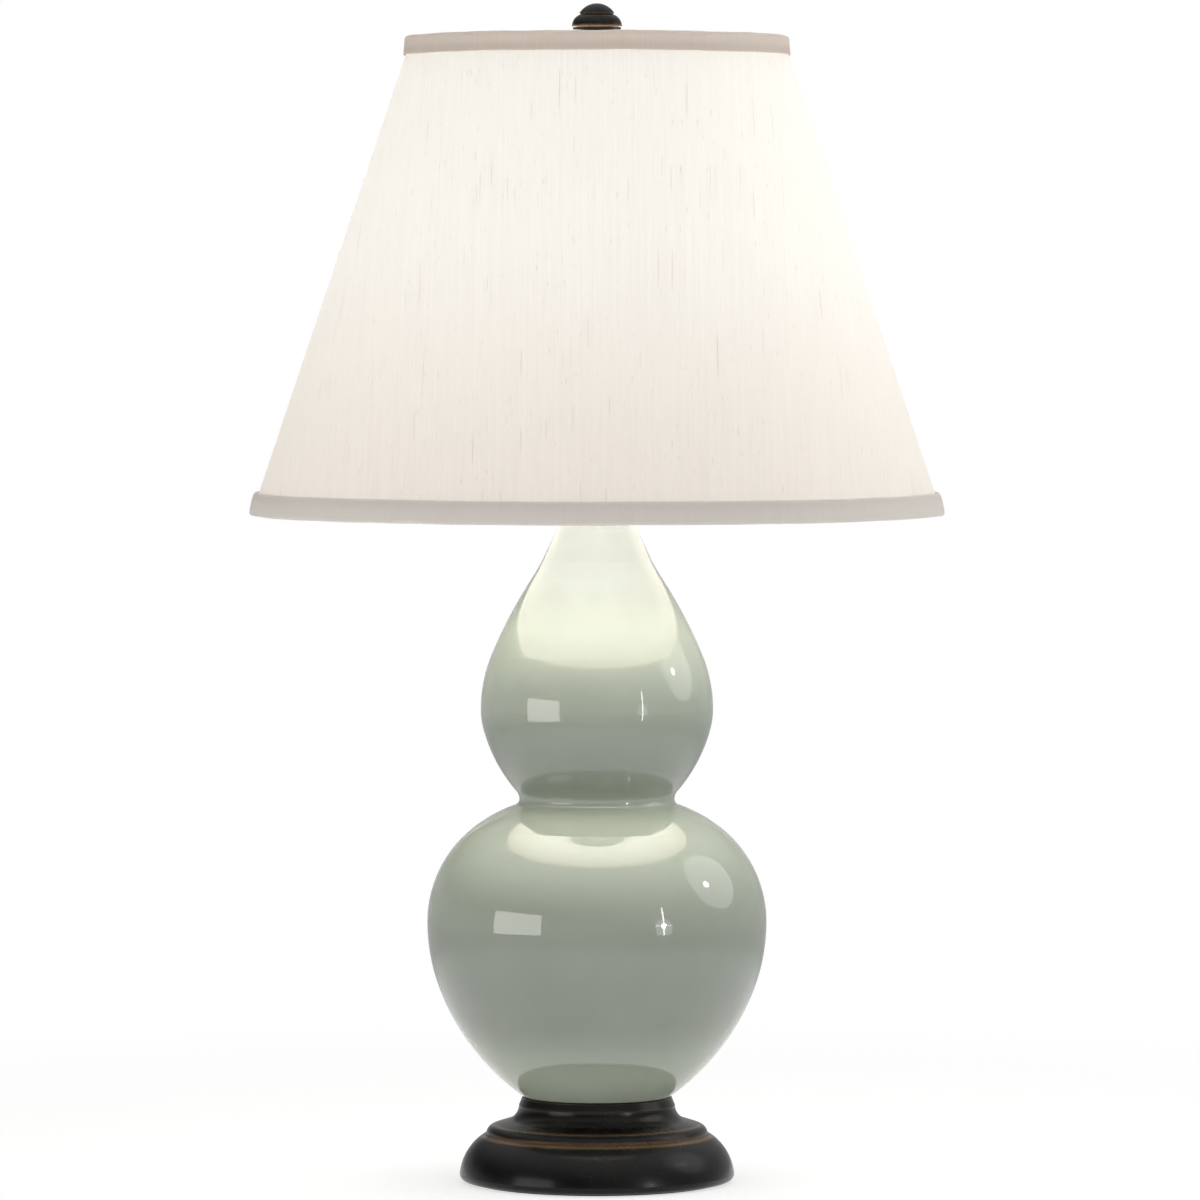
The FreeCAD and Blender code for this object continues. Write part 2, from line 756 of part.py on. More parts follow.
def socket_shell():
    """Spun brass shell with a rolled bead at its mouth."""
    low = z_socket + shell_bottom
    top = z_socket + shell_top
    inner = shell_radius - shell_wall
    shell = turned(outline([
        (inner, low),
        (shell_radius, low),
        (shell_radius, top - 5 * shell_bead),
        (shell_radius + shell_bead, top - 4 * shell_bead, slight_bulge),
        (shell_radius + shell_bead, top - 2 * shell_bead, slight_bulge),
        (shell_radius, top),
        (inner, top),
    ]))
    return shell.cut(switch_slot(low))


def socket_liner():
    """Pressed paper sleeve that insulates the brass shell."""
    outer = shell_radius - shell_wall - slip_gap
    low = z_body
    height = z_socket + shell_top - liner_setback - low
    return tube(outer - liner_thickness, outer, low, height).cut(switch_slot(low))


def socket_body():
    """Moulded block that holds the switch, the contacts and the terminals."""
    block = Part.makeCylinder(body_radius, body_height, V(0, 0, z_body))
    for side in (1, -1):
        flat = Part.makeBox(body_radius, 2 * body_radius, body_flat_height)
        flat.translate(V(body_flat if side > 0 else -body_flat - body_radius, -body_radius, z_body))
        block = block.cut(flat)
        screw_hole = Part.makeCylinder(
            terminal_shank_radius + glue_gap, terminal_shank_length,
            V(side * body_flat, 0, z_body + terminal_height), V(-side, 0, 0),
        )
        block = block.cut(screw_hole)
    bore = Part.makeCylinder(
        switch_shaft_radius + running_gap, switch_shaft_inside,
        V(0, -body_radius, z_switch), BACK,
    )
    return block.cut(bore)


def terminal_screws():
    """The two terminal screws, one on each side of the block."""
    screws = []
    for side in (1, -1):
        start = V(side * body_flat, 0, z_body + terminal_height)
        out = V(side, 0, 0)
        shank = Part.makeCylinder(terminal_shank_radius, terminal_shank_length - slip_gap, start, -out)
        head = Part.makeCylinder(terminal_head_radius, terminal_head_height, start, out)
        screws.append(shank.fuse(head).removeSplitter())
    return Part.makeCompound(screws)


def thread_shell():
    """Sheet metal shell that the bulb's cap screws into, with an inturned bottom flange."""
    low = z_thread_shell
    inner = thread_shell_radius - thread_shell_wall
    return turned(outline([
        (thread_shell_eye, low),
        (thread_shell_radius, low),
        (thread_shell_radius, low + thread_shell_height),
        (inner, low + thread_shell_height),
        (inner, low + thread_shell_wall),
        (thread_shell_eye, low + thread_shell_wall),
    ]))


def socket_contact():
    """Springy brass tongue under the bulb's tip."""
    z = z_thread_shell
    half = 0.5 * tongue_length
    rise = 2 * tongue_thickness
    points = [
        V(-half, 0, z),
        V(-tongue_kink, 0, z),
        V(0, 0, z + rise),
        V(half, 0, z + rise),
        V(half, 0, z + rise + tongue_thickness),
        V(tongue_kink - 0.65 * half, 0, z + rise + tongue_thickness),
        V(-0.65 * half, 0, z + tongue_thickness),
        V(-half, 0, z + tongue_thickness),
        V(-half, 0, z),
    ]
    face = Part.Face(Part.makePolygon(points))
    face.translate(V(0, -0.5 * tongue_width, 0))
    return face.extrude(V(0, tongue_width, 0))


# ---------------------------------------------------------------- switch
def switch_shaft():
    y_inside = -body_radius + switch_shaft_inside - slip_gap
    y_outside = -key_reach + 0.5 * key_length
    return rod(V(0, y_inside, z_switch), V(0, y_outside, z_switch), switch_shaft_radius)


def switch_key():
    """Flat thumb key with a round collar, pressed on the shaft."""
    root = V(0, -key_reach + key_length, z_switch)
    collar = Part.makeCylinder(key_collar_radius, key_collar_length, root, FRONT)
    round_key = Part.makeCylinder(key_radius, key_length, root, FRONT)
    blade = Part.makeBox(
        2 * key_radius, key_length - 0.5 * key_collar_length, 2 * key_half_thickness,
        V(-key_radius, -key_reach, z_switch - key_half_thickness),
    )
    key = collar.fuse(round_key.common(blade))
    bore_depth = 0.5 * key_length
    bore = Part.makeCylinder(switch_shaft_radius, bore_depth, root, FRONT)
    boss = Part.makeCylinder(switch_shaft_radius + key_boss_wall, bore_depth + key_boss_wall, root, FRONT)
    return key.fuse(boss).cut(bore).removeSplitter()


# ---------------------------------------------------------------- bulb
def bulb_contact():
    return turned(outline([
        (0, z_bulb),
        (bulb_contact_radius - bulb_contact_edge, z_bulb, slight_bulge),
        (bulb_contact_radius, z_bulb + bulb_contact_height),
        (0, z_bulb + bulb_contact_height),
    ]))


def bulb_insulator():
    """Dark glass cone between the tip and the screw cap."""
    low = z_bulb + bulb_contact_height + glue_gap
    return turned(outline([
        (0, low),
        (bulb_contact_radius + bulb_cap_wall, low),
        (bulb_insulator_radius, low + bulb_insulator_height),
        (0, low + bulb_insulator_height),
    ]))


def bulb_cap():
    """Screw cap: a thin shell that narrows to the insulator."""
    low = z_cap_top - bulb_cap_height
    taper = low + bulb_cap_taper
    inner = bulb_cap_radius - bulb_cap_wall
    eye = bulb_insulator_radius - bulb_cap_flange
    return turned(outline([
        (eye, low),
        (bulb_insulator_radius, low),
        (bulb_cap_radius, taper),
        (bulb_cap_radius, z_cap_top),
        (inner, z_cap_top),
        (inner, taper + 0.5 * bulb_cap_wall),
        (eye, low + bulb_cap_wall),
    ]))


def bulb_side(inset):
    """Glass outline from inside the cap to the crown of the globe, moved inwards by inset."""
    neck = bulb_cap_radius - bulb_cap_wall - slip_gap - inset
    z_centre = z_bulb + bulb_length - bulb_globe_radius
    start = at(neck, z_cap_top - bulb_neck_depth)
    lip = at(neck, z_cap_top + bulb_lip)
    way = leaning(bulb_shoulder_lean)
    shoulder = at(bulb_shoulder_radius, z_bulb + bulb_shoulder_height) + V(-way.z, 0, way.x) * inset
    belly = at(bulb_globe_radius - inset, z_centre)
    top = at(0, z_centre + bulb_globe_radius - inset)
    edges = [line(start, lip)]
    edges += two_arcs(lip, UP, shoulder, way, bulb_neck_lead)
    edges += two_arcs(shoulder, way, belly, UP, bulb_belly_lead)
    edges.append(bulged(belly, top, quarter))
    return edges, start, top


def bulb_glass():
    outside, out_start, out_top = bulb_side(0.0)
    inside, in_start, in_top = bulb_side(bulb_glass_wall)
    edges = outside + inside + [line(out_start, in_start), line(out_top, in_top)]
    return turned(Part.__sortEdges__(edges))


def bulb_stem():
    """Glass mount that carries the leads: a flared tube closed to a rod."""
    low = z_cap_top - bulb_neck_depth
    return turned(outline([
        (0, low),
        (bulb_stem_flare_radius, low, -slight_bulge),
        (bulb_stem_radius, low + bulb_stem_flare),
        (bulb_stem_radius, low + bulb_stem_height, slight_bulge),
        (bulb_rod_radius, low + bulb_stem_height + bulb_rod_radius),
        (bulb_rod_radius, low + bulb_rod_height),
        (0, low + bulb_rod_height),
    ]))


def bulb_filament():
    """Two leads out of the stem and the filament bowed between them."""
    z_lead = z_bulb + filament_height
    z_root = z_cap_top - bulb_neck_depth + 0.8 * bulb_stem_height
    left = V(-filament_half, 0, z_lead)
    right = V(filament_half, 0, z_lead)
    shapes = []
    for end in (left, right):
        side = math.copysign(1.0, end.x)
        root = V(side * (bulb_stem_radius + lead_radius + glue_gap), 0, z_root)
        shapes.append(rod(root, end, lead_radius))
    bow = Part.Arc(left, V(0, 0.5 * filament_half, z_lead), right)
    path = Part.Wire([bow.toShape()])
    section = Part.Wire(Part.makeCircle(filament_radius, left, bow.tangent(bow.FirstParameter)[0]))
    coil = path.makePipeShell([section], True, False)
    return coil.fuse(shapes[0]).fuse(shapes[1])


# ---------------------------------------------------------------- shade
def fabric_radius(z):
    """Outer radius of the covered cone at height z."""
    return shade_top_radius + (z_rim - z) * shade_slope


def cone_sheet(outset, thickness):
    """Conical sheet whose outer face lies outset inside the fabric's outer face."""
    low = z_shade_bottom + tape_thickness + glue_gap
    high = z_rim - tape_thickness - glue_gap
    return turned(outline([
        (fabric_radius(low) - outset - thickness, low),
        (fabric_radius(low) - outset, low),
        (fabric_radius(high) - outset, high),
        (fabric_radius(high) - outset - thickness, high),
    ]))


def shade_fabric():
    return cone_sheet(0.0, fabric_thickness)


def shade_liner():
    return cone_sheet(fabric_thickness + glue_gap, liner_sheet)


def frame_ring_place(z_face, side):
    """Radius and height of a frame ring that lies inside the liner, next to the rim at z_face."""
    z = z_face + side * (tape_thickness + frame_wire_radius + slip_gap)
    sheet = fabric_thickness + liner_sheet + 2 * glue_gap
    slant = math.sqrt(1 + shade_slope ** 2)
    return fabric_radius(z) - sheet - frame_wire_radius * slant - slip_gap, z


def spider_frame():
    """Welded top frame: the ring, the washer over the stud and the arms between them."""
    radius, z = frame_ring_place(z_rim, -1)
    frame = ring(radius, frame_wire_radius, z)
    z_mid = z_shade_seat + 0.5 * spider_washer_thickness
    washer = Part.makeCylinder(spider_washer_radius, spider_washer_thickness, V(0, 0, z_shade_seat))
    for i in range(arm_count):
        angle = math.radians(arm_first_angle + 360.0 * i / arm_count)
        way = V(math.cos(angle), math.sin(angle), 0)
        root = way * (spider_washer_radius - arm_radius) + V(0, 0, z_mid)
        arm = rod(root, way * radius + V(0, 0, z), arm_radius)
        washer = washer.fuse(arm)
    hole = Part.makeCylinder(spider_hole_radius, 4 * arm_radius, V(0, 0, z_shade_seat - 2 * arm_radius))
    return washer.fuse(frame).cut(hole).removeSplitter()


def bottom_ring():
    radius, z = frame_ring_place(z_shade_bottom, 1)
    return ring(radius, frame_wire_radius, z)


def tape(z_face, side, height, proud, rim_proud):
    """Folded tape over a rim: outside leg down the fabric, fold, and a short leg inside the frame ring."""
    ring_radius, ring_z = frame_ring_place(z_face, side)
    z_edge = z_face + side * height
    z_fold = z_face + side * tape_thickness
    z_round = z_face + side * tape_edge
    inner = ring_radius - frame_wire_radius - slip_gap
    z_inner = ring_z + side * (frame_wire_radius + slip_gap)
    lip = 0.35 * proud                 # thickness of the folded free edge
    points = [
        (fabric_radius(z_edge) + glue_gap, z_edge),
        (fabric_radius(z_edge) + proud - lip, z_edge, -side * slight_bulge),
        (fabric_radius(z_edge) + proud, z_edge - side * lip, -side * tape_crown),
        (fabric_radius(z_round) + rim_proud, z_round, -side * soft_bulge),
        (fabric_radius(z_face) + rim_proud - tape_edge, z_face),
        (inner, z_face, -side * soft_bulge),
        (inner - tape_thickness, z_fold),
        (inner - tape_thickness, z_inner),
        (inner, z_inner),
        (inner, z_fold),
        (fabric_radius(z_fold) + glue_gap, z_fold),
    ]
    return turned(outline(points))


def top_tape():
    """Tape over the top rim, notched inside for the spider's arms."""
    band = tape(z_rim, -1, top_tape_height, top_tape_proud, top_tape_rim_proud)
    radius, z = frame_ring_place(z_rim, -1)
    z_mid = z_shade_seat + 0.5 * spider_washer_thickness
    for i in range(arm_count):
        angle = math.radians(arm_first_angle + 360.0 * i / arm_count)
        way = V(math.cos(angle), math.sin(angle), 0)
        root = way * spider_washer_radius + V(0, 0, z_mid)
        band = band.cut(rod(root, way * radius + V(0, 0, z), arm_radius + slip_gap))
    return band


def bottom_tape():
    return tape(z_shade_bottom, 1, bottom_tape_height, bottom_tape_proud, bottom_tape_rim_proud)


# ---------------------------------------------------------------- finial
def finial_knob():
    """Turned knob of two stacked domes on a narrow foot."""
    z = z_finial
    bore = stud_thread_radius + running_gap + insert_wall + running_gap
    z_bore = z + insert_inset + insert_length + seat_gap
    z_dome = z + finial_step_height + finial_dome_lift
    cap_sag = finial_height - finial_step_height - finial_dome_lift
    dome = cap_sag / finial_dome_radius
    return turned(outline([
        (bore, z),
        (finial_foot_radius, z, slight_bulge),
        (finial_foot_radius, z + finial_foot_height),
        (finial_waist_radius + finial_foot_bead, z + finial_foot_height + finial_foot_bead, -slight_bulge),
        (finial_waist_radius, z + finial_waist_height, -slight_bulge),
        (finial_skirt_radius - finial_skirt_edge, z + finial_skirt_height - finial_foot_bead, slight_bulge),
        (finial_skirt_radius, z + finial_skirt_height),
        (finial_skirt_radius, z + finial_lip_height - finial_dome_edge),
        (finial_lip_radius, z + finial_lip_height, slight_bulge),
        (finial_lip_radius, z + finial_lip_height + finial_lip_thickness, slight_bulge),
        (finial_step_radius, z + finial_step_height),
        (finial_dome_radius, z_dome - finial_dome_edge, slight_bulge),
        (finial_dome_radius, z_dome, math.tan(0.5 * math.atan(dome))),
        (0, z + finial_height),
        (0, z_bore),
        (bore, z_bore),
    ]))


def finial_insert():
    """Tapped brass insert in the knob's foot."""
    inner = stud_thread_radius + running_gap
    return tube(inner, inner + insert_wall, z_finial + insert_inset, insert_length)


# ---------------------------------------------------------------- every piece, under its own name
right_leg = harp_leg()
right_foot = harp_foot()
right_ferrule = ferrule()

pieces = {
    "base_felt": base_felt(),
    "base": base(),
    "cord_bushing": cord_bushing(),
    "base_washer": base_washer(),
    "base_nut": base_nut(),
    "lamp_pipe": lamp_pipe(),
    "gourd_seat_washer": seat_washer(),
    "gourd_body": gourd_body(),
    "vase_cap": vase_cap(),
    "neck_spool": neck_spool(),
    "check_ring": check_ring(),
    "harp_saddle": harp_saddle(),
    "harp_foot_right": right_foot,
    "harp_foot_left": mirrored(right_foot),
    "harp_leg_right": right_leg,
    "harp_leg_left": mirrored(right_leg),
    "harp_crown": harp_crown(),
    "harp_ferrule_right": right_ferrule,
    "harp_ferrule_left": mirrored(right_ferrule),
    "harp_stud": harp_stud(),
    "socket_cap": socket_cap(),
    "socket_set_screw": set_screw(),
    "socket_shell": socket_shell(),
    "socket_liner": socket_liner(),
    "socket_body": socket_body(),
    "socket_terminal_screws": terminal_screws(),
    "socket_thread_shell": thread_shell(),
    "socket_contact": socket_contact(),
    "switch_shaft": switch_shaft(),
    "switch_key": switch_key(),
    "bulb_contact": bulb_contact(),
    "bulb_insulator": bulb_insulator(),
    "bulb_cap": bulb_cap(),
    "bulb_glass": bulb_glass(),
    "bulb_stem": bulb_stem(),
    "bulb_filament": bulb_filament(),
    "shade_spider_frame": spider_frame(),
    "shade_bottom_ring": bottom_ring(),
    "shade_liner": shade_liner(),
    "shade_fabric": shade_fabric(),
    "shade_top_tape": top_tape(),
    "shade_bottom_tape": bottom_tape(),
    "finial_knob": finial_knob(),
    "finial_insert": finial_insert(),
}

os.makedirs("parts", exist_ok=True)
for name, shape in pieces.items():
    if not shape.isValid():
        raise ValueError("invalid solid: " + name)
    shape.exportStep("parts/" + name + ".step")
    box = shape.optimalBoundingBox(False)
    print("%-24s %d solid(s) %10.0f mm3  x %.1f..%.1f  y %.1f..%.1f  z %.1f..%.1f" % (
        name, len(shape.Solids), shape.Volume, box.XMin, box.XMax, box.YMin, box.YMax, box.ZMin, box.ZMax))
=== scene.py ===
import bmesh
import bpy
import math
from mathutils import Matrix, Vector


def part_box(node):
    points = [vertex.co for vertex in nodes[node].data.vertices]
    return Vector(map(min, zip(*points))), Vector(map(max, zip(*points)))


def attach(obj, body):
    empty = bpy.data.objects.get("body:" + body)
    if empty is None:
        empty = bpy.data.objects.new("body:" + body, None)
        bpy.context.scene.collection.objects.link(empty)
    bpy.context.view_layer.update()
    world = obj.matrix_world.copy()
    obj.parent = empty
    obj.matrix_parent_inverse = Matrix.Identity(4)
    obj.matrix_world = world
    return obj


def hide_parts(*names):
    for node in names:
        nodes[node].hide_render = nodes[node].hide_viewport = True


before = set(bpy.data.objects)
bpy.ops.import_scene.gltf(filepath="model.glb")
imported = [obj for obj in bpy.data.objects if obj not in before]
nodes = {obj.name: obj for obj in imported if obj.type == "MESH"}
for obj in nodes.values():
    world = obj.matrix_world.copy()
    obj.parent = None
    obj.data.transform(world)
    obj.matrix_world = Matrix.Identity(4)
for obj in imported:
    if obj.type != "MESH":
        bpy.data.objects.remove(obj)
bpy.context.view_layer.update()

# ------------------------------------------------------------------ camera
# The photograph was taken with a long lens from 3.7 m in front, a little below the shade's middle,
# so the rims show as flat curves. The frame is square.
lens_mm = 225.0
camera_place = (0.0015, -3.6743, 0.4414)
camera_tilt_down = math.radians(2.42)
camera_data = bpy.data.cameras.new("studio_camera")
camera_data.lens = lens_mm
camera_data.sensor_width = 36.0
camera_data.clip_end = 60.0
camera = bpy.data.objects.new("studio_camera", camera_data)
camera.location = camera_place
camera.rotation_euler = (math.pi / 2 - camera_tilt_down, 0, 0)
bpy.context.scene.collection.objects.link(camera)
bpy.context.scene.camera = camera


# ------------------------------------------------------------------ felt under the base
# A die-cut disc of dark wool felt, glued into the foot's recess so that the metal doesn't mark the table.
# The fibres are matted, with paler hairs that stand up here and there.
def lay(tree, kind, wires=(), **settings):
    """Adds a node, sets it, and fills its inputs with values or with other nodes' outputs."""
    made = tree.nodes.new("ShaderNode" + kind)
    for key, value in settings.items():
        setattr(made, key, value)
    for socket, source in dict(wires).items():
        if isinstance(source, bpy.types.NodeSocket):
            tree.links.new(source, made.inputs[socket])
        else:
            made.inputs[socket].default_value = source
    return made


def coating(name, colour, **sockets):
    """A new material, its node tree and its Principled shader, with plain values on the shader's sockets."""
    material = bpy.data.materials.new(name)
    material.use_nodes = True
    tree = material.node_tree
    shader = tree.nodes["Principled BSDF"]
    shader.inputs["Base Color"].default_value = (*colour, 1)
    for key, value in sockets.items():
        shader.inputs[key.replace("_", " ")].default_value = value
    return material, tree, shader


def placed(tree, scale=(1, 1, 1)):
    """The piece's own coordinates in metres, stretched for a pattern."""
    spot = lay(tree, "TexCoord").outputs["Object"]
    return lay(tree, "Mapping", {"Vector": spot, "Scale": scale}).outputs[0]


def height_on(tree):
    """Height above the table, in metres."""
    return lay(tree, "SeparateXYZ", {0: placed(tree)}).outputs[2]


def noise(tree, vector, scale, detail=2.0, rough=0.5):
    """A noise pattern's grey value."""
    wires = {"Vector": vector, "Scale": scale, "Detail": detail, "Roughness": rough}
    return lay(tree, "TexNoise", wires).outputs["Fac"]


def spread(tree, value, low, high, to_low=0.0, to_high=1.0):
    """Maps low..high of a value to to_low..to_high, smoothly and no further."""
    wires = {"Value": value, "From Min": low, "From Max": high, "To Min": to_low, "To Max": to_high}
    return lay(tree, "MapRange", wires, interpolation_type="SMOOTHSTEP").outputs["Result"]


def blend(tree, factor, first, second, how="MIX"):
    """Mixes two colours."""
    first = first if isinstance(first, bpy.types.NodeSocket) else (*first, 1)
    second = second if isinstance(second, bpy.types.NodeSocket) else (*second, 1)
    made = lay(tree, "Mix", data_type="RGBA", blend_type=how)
    for socket, source in ((0, factor), (6, first), (7, second)):
        if isinstance(source, bpy.types.NodeSocket):
            tree.links.new(source, made.inputs[socket])
        else:
            made.inputs[socket].default_value = source
    return made.outputs[2]


def sums(tree, how, *values):
    """One step of arithmetic on values or on other nodes' outputs."""
    return lay(tree, "Math", enumerate(values), operation=how).outputs[0]


def relief(tree, shader, height, depth):
    """A bump of that depth in metres, on the shader's normal."""
    bump = lay(tree, "Bump", {"Height": height, "Distance": depth, "Strength": 1.0})
    tree.links.new(bump.outputs[0], shader.inputs["Normal"])


def dress(material, *names):
    """Gives CAD nodes a material."""
    for name in names:
        nodes[name].data.materials.clear()
        nodes[name].data.materials.append(material)


felt, tree, shader = coating("matted_felt", (0.03, 0.035, 0.033), Roughness=0.95, Sheen_Weight=0.4)
hairs = noise(tree, placed(tree, (1, 1, 3)), 900.0, 4.0, 0.7)
tufts = noise(tree, placed(tree), 120.0, 3.0)
pale = spread(tree, hairs, 0.55, 0.75)
tree.links.new(blend(tree, pale, (0.025, 0.03, 0.028), (0.09, 0.1, 0.095)), shader.inputs["Base Color"])
relief(tree, shader, sums(tree, "ADD", hairs, tufts), 0.0006)
dress(felt, "base_felt")

# ------------------------------------------------------------------ cast base
# A hollow zinc casting, turned and then finished in dark oil-rubbed bronze: nearly black in the coves,
# rubbed through to warm brown along the edges that a hand or a cloth reaches.
def rubbed_ring_group():
    """Mask of the metal near a turned edge, given as a ring's radius and height round the lamp's axis."""
    group = bpy.data.node_groups.new("rubbed_ring", "ShaderNodeTree")
    for label in ("Radius", "Height", "Width", "Wander"):
        group.interface.new_socket(label, in_out="INPUT", socket_type="NodeSocketFloat")
    group.interface.new_socket("Mask", in_out="OUTPUT", socket_type="NodeSocketFloat")
    spot = lay(group, "TexCoord").outputs["Object"]
    given, result = group.nodes.new("NodeGroupInput"), group.nodes.new("NodeGroupOutput")
    flat = lay(group, "VectorMath", {0: spot, 1: (1, 1, 0)}, operation="MULTIPLY").outputs[0]
    round_way = lay(group, "VectorMath", {0: flat}, operation="LENGTH").outputs["Value"]
    height = lay(group, "SeparateXYZ", {0: spot}).outputs[2]
    out = sums(group, "SUBTRACT", round_way, given.outputs["Radius"])
    up = sums(group, "SUBTRACT", height, given.outputs["Height"])
    squares = sums(group, "MULTIPLY", out, out), sums(group, "MULTIPLY", up, up)
    away = sums(group, "SQRT", sums(group, "ADD", *squares))
    uneven = noise(group, spot, 90.0, 3.0, 0.6)
    wide = sums(group, "MULTIPLY", uneven, given.outputs["Wander"])
    reach = sums(group, "ADD", given.outputs["Width"], wide)
    share = sums(group, "DIVIDE", away, reach)
    mask = spread(group, share, 1.0, 0.15)
    group.links.new(mask, result.inputs[0])
    return group


rubbed_ring = rubbed_ring_group()
rub_wander = 0.0012


def rubbed(tree, rings):
    """The strongest of several rubbed rings, each a radius, a height, a width and a strength."""
    total = None
    for radius, height, width, strength in rings:
        ring = lay(tree, "Group", node_tree=rubbed_ring)
        for label, value in (("Radius", radius), ("Height", height), ("Width", width), ("Wander", rub_wander)):
            ring.inputs[label].default_value = value
        worn = sums(tree, "MULTIPLY", ring.outputs[0], strength)
        total = worn if total is None else sums(tree, "MAXIMUM", total, worn)
    return total


def dark_bronze(name, rings):
    """Oil-rubbed bronze with warm metal showing along the given rings."""
    material, tree, shader = coating(name, (0.005, 0.0047, 0.0045), IOR=1.32,
                                     Coat_Weight=0.06, Coat_Roughness=0.16)
    here = placed(tree)
    cloud = noise(tree, here, 38.0, 5.0, 0.6)
    specks = noise(tree, here, 1500.0, 2.0, 0.6)
    worn = rubbed(tree, rings)
    dark = blend(tree, spread(tree, cloud, 0.35, 0.7), (0.0022, 0.0021, 0.0021), (0.0065, 0.0054, 0.0048))
    warm = blend(tree, spread(tree, specks, 0.35, 0.65), (0.20, 0.11, 0.052), (0.31, 0.19, 0.10))
    tree.links.new(blend(tree, worn, dark, warm), shader.inputs["Base Color"])
    tree.links.new(spread(tree, worn, 0.0, 1.0, 0.0, 0.85), shader.inputs["Metallic"])
    dull = sums(tree, "ADD", spread(tree, cloud, 0.3, 0.75, 0.19, 0.27), sums(tree, "MULTIPLY", specks, 0.06))
    tree.links.new(dull, shader.inputs["Roughness"])
    orange_peel = noise(tree, here, 420.0, 2.0)
    relief(tree, shader, sums(tree, "ADD", orange_peel, sums(tree, "MULTIPLY", specks, 0.4)), 0.00003)
    return material


# Each ring is a radius, a height, a width and a strength.
base_rings = [
    (0.0563, 0.0229, 0.0012, 0.85),
    (0.0545, 0.0242, 0.0008, 0.35),
    (0.0506, 0.0283, 0.0009, 0.6),
    (0.0384, 0.0378, 0.0006, 0.12),
    (0.0369, 0.0421, 0.0006, 0.15),
]
dress(dark_bronze("base_bronze", base_rings), "base")

# ------------------------------------------------------------------ cord bushing in the back of the base
# A moulded nylon sleeve pressed into the spot-faced hole; its flange stops it from going through.
moulded, tree, shader = coating("moulded_black", (0.02, 0.02, 0.021), Roughness=0.45)
grain = noise(tree, placed(tree), 1800.0, 3.0)
patches = noise(tree, placed(tree), 60.0, 2.0)
tree.links.new(blend(tree, patches, (0.016, 0.016, 0.017), (0.03, 0.03, 0.031)), shader.inputs["Base Color"])
tree.links.new(spread(tree, grain, 0.3, 0.7, 0.38, 0.55), shader.inputs["Roughness"])
relief(tree, shader, grain, 0.00004)
dress(moulded, "cord_bushing", "switch_key", "socket_body")

# ------------------------------------------------------------------ threaded pipe, washer and nut
# Zinc-plated steel tube, threaded at both ends, with a washer and a hexagon nut that pull the whole
# lamp together from under the base. The plating is a little cloudy and shows the turning lines.
zinc, tree, shader = coating("zinc_plate", (0.6, 0.6, 0.58), Metallic=1.0, Roughness=0.35)
cloud = noise(tree, placed(tree), 160.0, 4.0)
lines = noise(tree, placed(tree, (60, 60, 2600)), 1.0, 3.0)
plating = blend(tree, spread(tree, cloud, 0.3, 0.7), (0.5, 0.5, 0.48), (0.68, 0.68, 0.65))
tree.links.new(plating, shader.inputs["Base Color"])
tree.links.new(spread(tree, lines, 0.3, 0.7, 0.28, 0.45), shader.inputs["Roughness"])
relief(tree, shader, lines, 0.00002)
dress(zinc, "lamp_pipe", "base_washer", "base_nut", "socket_set_screw", "switch_shaft")

# ------------------------------------------------------------------ seat washer under the gourd
# A rubber ring between the casting and the gourd's foot keeps the glaze off the metal. The rubber is matt,
# with a grey bloom in patches.
rubber, tree, shader = coating("seat_rubber", (0.03, 0.03, 0.03), Roughness=0.8)
bloom = noise(tree, placed(tree), 220.0, 4.0)
bloomed = blend(tree, spread(tree, bloom, 0.4, 0.7), (0.025, 0.025, 0.025), (0.06, 0.06, 0.058))
tree.links.new(bloomed, shader.inputs["Base Color"])
relief(tree, shader, bloom, 0.00008)
dress(rubber, "gourd_seat_washer")

# ------------------------------------------------------------------ ceramic gourd
# Slip-cast stoneware with a thick, glossy and very slightly wavy celadon glaze. Its colour is graded by height
# to match the photograph, with light and shade painted in: painted light makes it paler at the foot and on both
# shoulders, it is a little deeper in the waist, and painted shade makes it deepest on the neck. Each pair is
# the height (for the waist, the distance from it) where a tone starts and is complete.
foot_fade = 0.085, 0.047
waist_height, waist_reach = 0.189, (0.010, 0.001)
shoulder_from, shoulder_to = (0.095, 0.172), (0.198, 0.185)
upper_from, upper_to = (0.200, 0.262), (0.300, 0.268)
neck_fade = 0.268, 0.310
foot_painted_light, waist_tone, shoulder_painted_light = (0.52, 0.59, 0.48), (0.21, 0.255, 0.212), (0.44, 0.495, 0.405)
upper_painted_light, neck_painted_shade, speck_tone = (0.385, 0.435, 0.365), (0.225, 0.25, 0.228), (0.20, 0.22, 0.175)

celadon, tree, shader = coating("celadon_glaze", (0.275, 0.315, 0.262), Roughness=0.025, IOR=1.85)
here = placed(tree)
height = height_on(tree)
waist_away = sums(tree, "ABSOLUTE", sums(tree, "SUBTRACT", height, waist_height))
waist_darkening = sums(tree, "MULTIPLY", spread(tree, waist_away, *waist_reach), 0.2)
runs = noise(tree, placed(tree, (26, 26, 4)), 1.0, 3.0)
clouds = noise(tree, here, 14.0, 3.0)
uneven = sums(tree, "ADD", sums(tree, "MULTIPLY", runs, 0.5), sums(tree, "MULTIPLY", clouds, 0.5))
glaze = blend(tree, spread(tree, uneven, 0.35, 0.65), (0.256, 0.295, 0.246), (0.281, 0.320, 0.267))
# Darker towards the waist.
glaze = blend(tree, waist_darkening, glaze, waist_tone)
# Painted light: the foot and both shoulders are made paler.
glaze = blend(tree, spread(tree, height, *foot_fade), glaze, foot_painted_light)
for fades, tone in (((shoulder_from, shoulder_to), shoulder_painted_light), ((upper_from, upper_to), upper_painted_light)):
    band = sums(tree, "MULTIPLY", *(spread(tree, height, *fade) for fade in fades))
    glaze = blend(tree, band, glaze, tone)
# Painted shade: the neck is made darker.
glaze = blend(tree, spread(tree, height, *neck_fade), glaze, neck_painted_shade)
specks = spread(tree, noise(tree, here, 700.0, 2.0, 0.8), 0.80, 0.86)
tree.links.new(blend(tree, specks, glaze, speck_tone), shader.inputs["Base Color"])
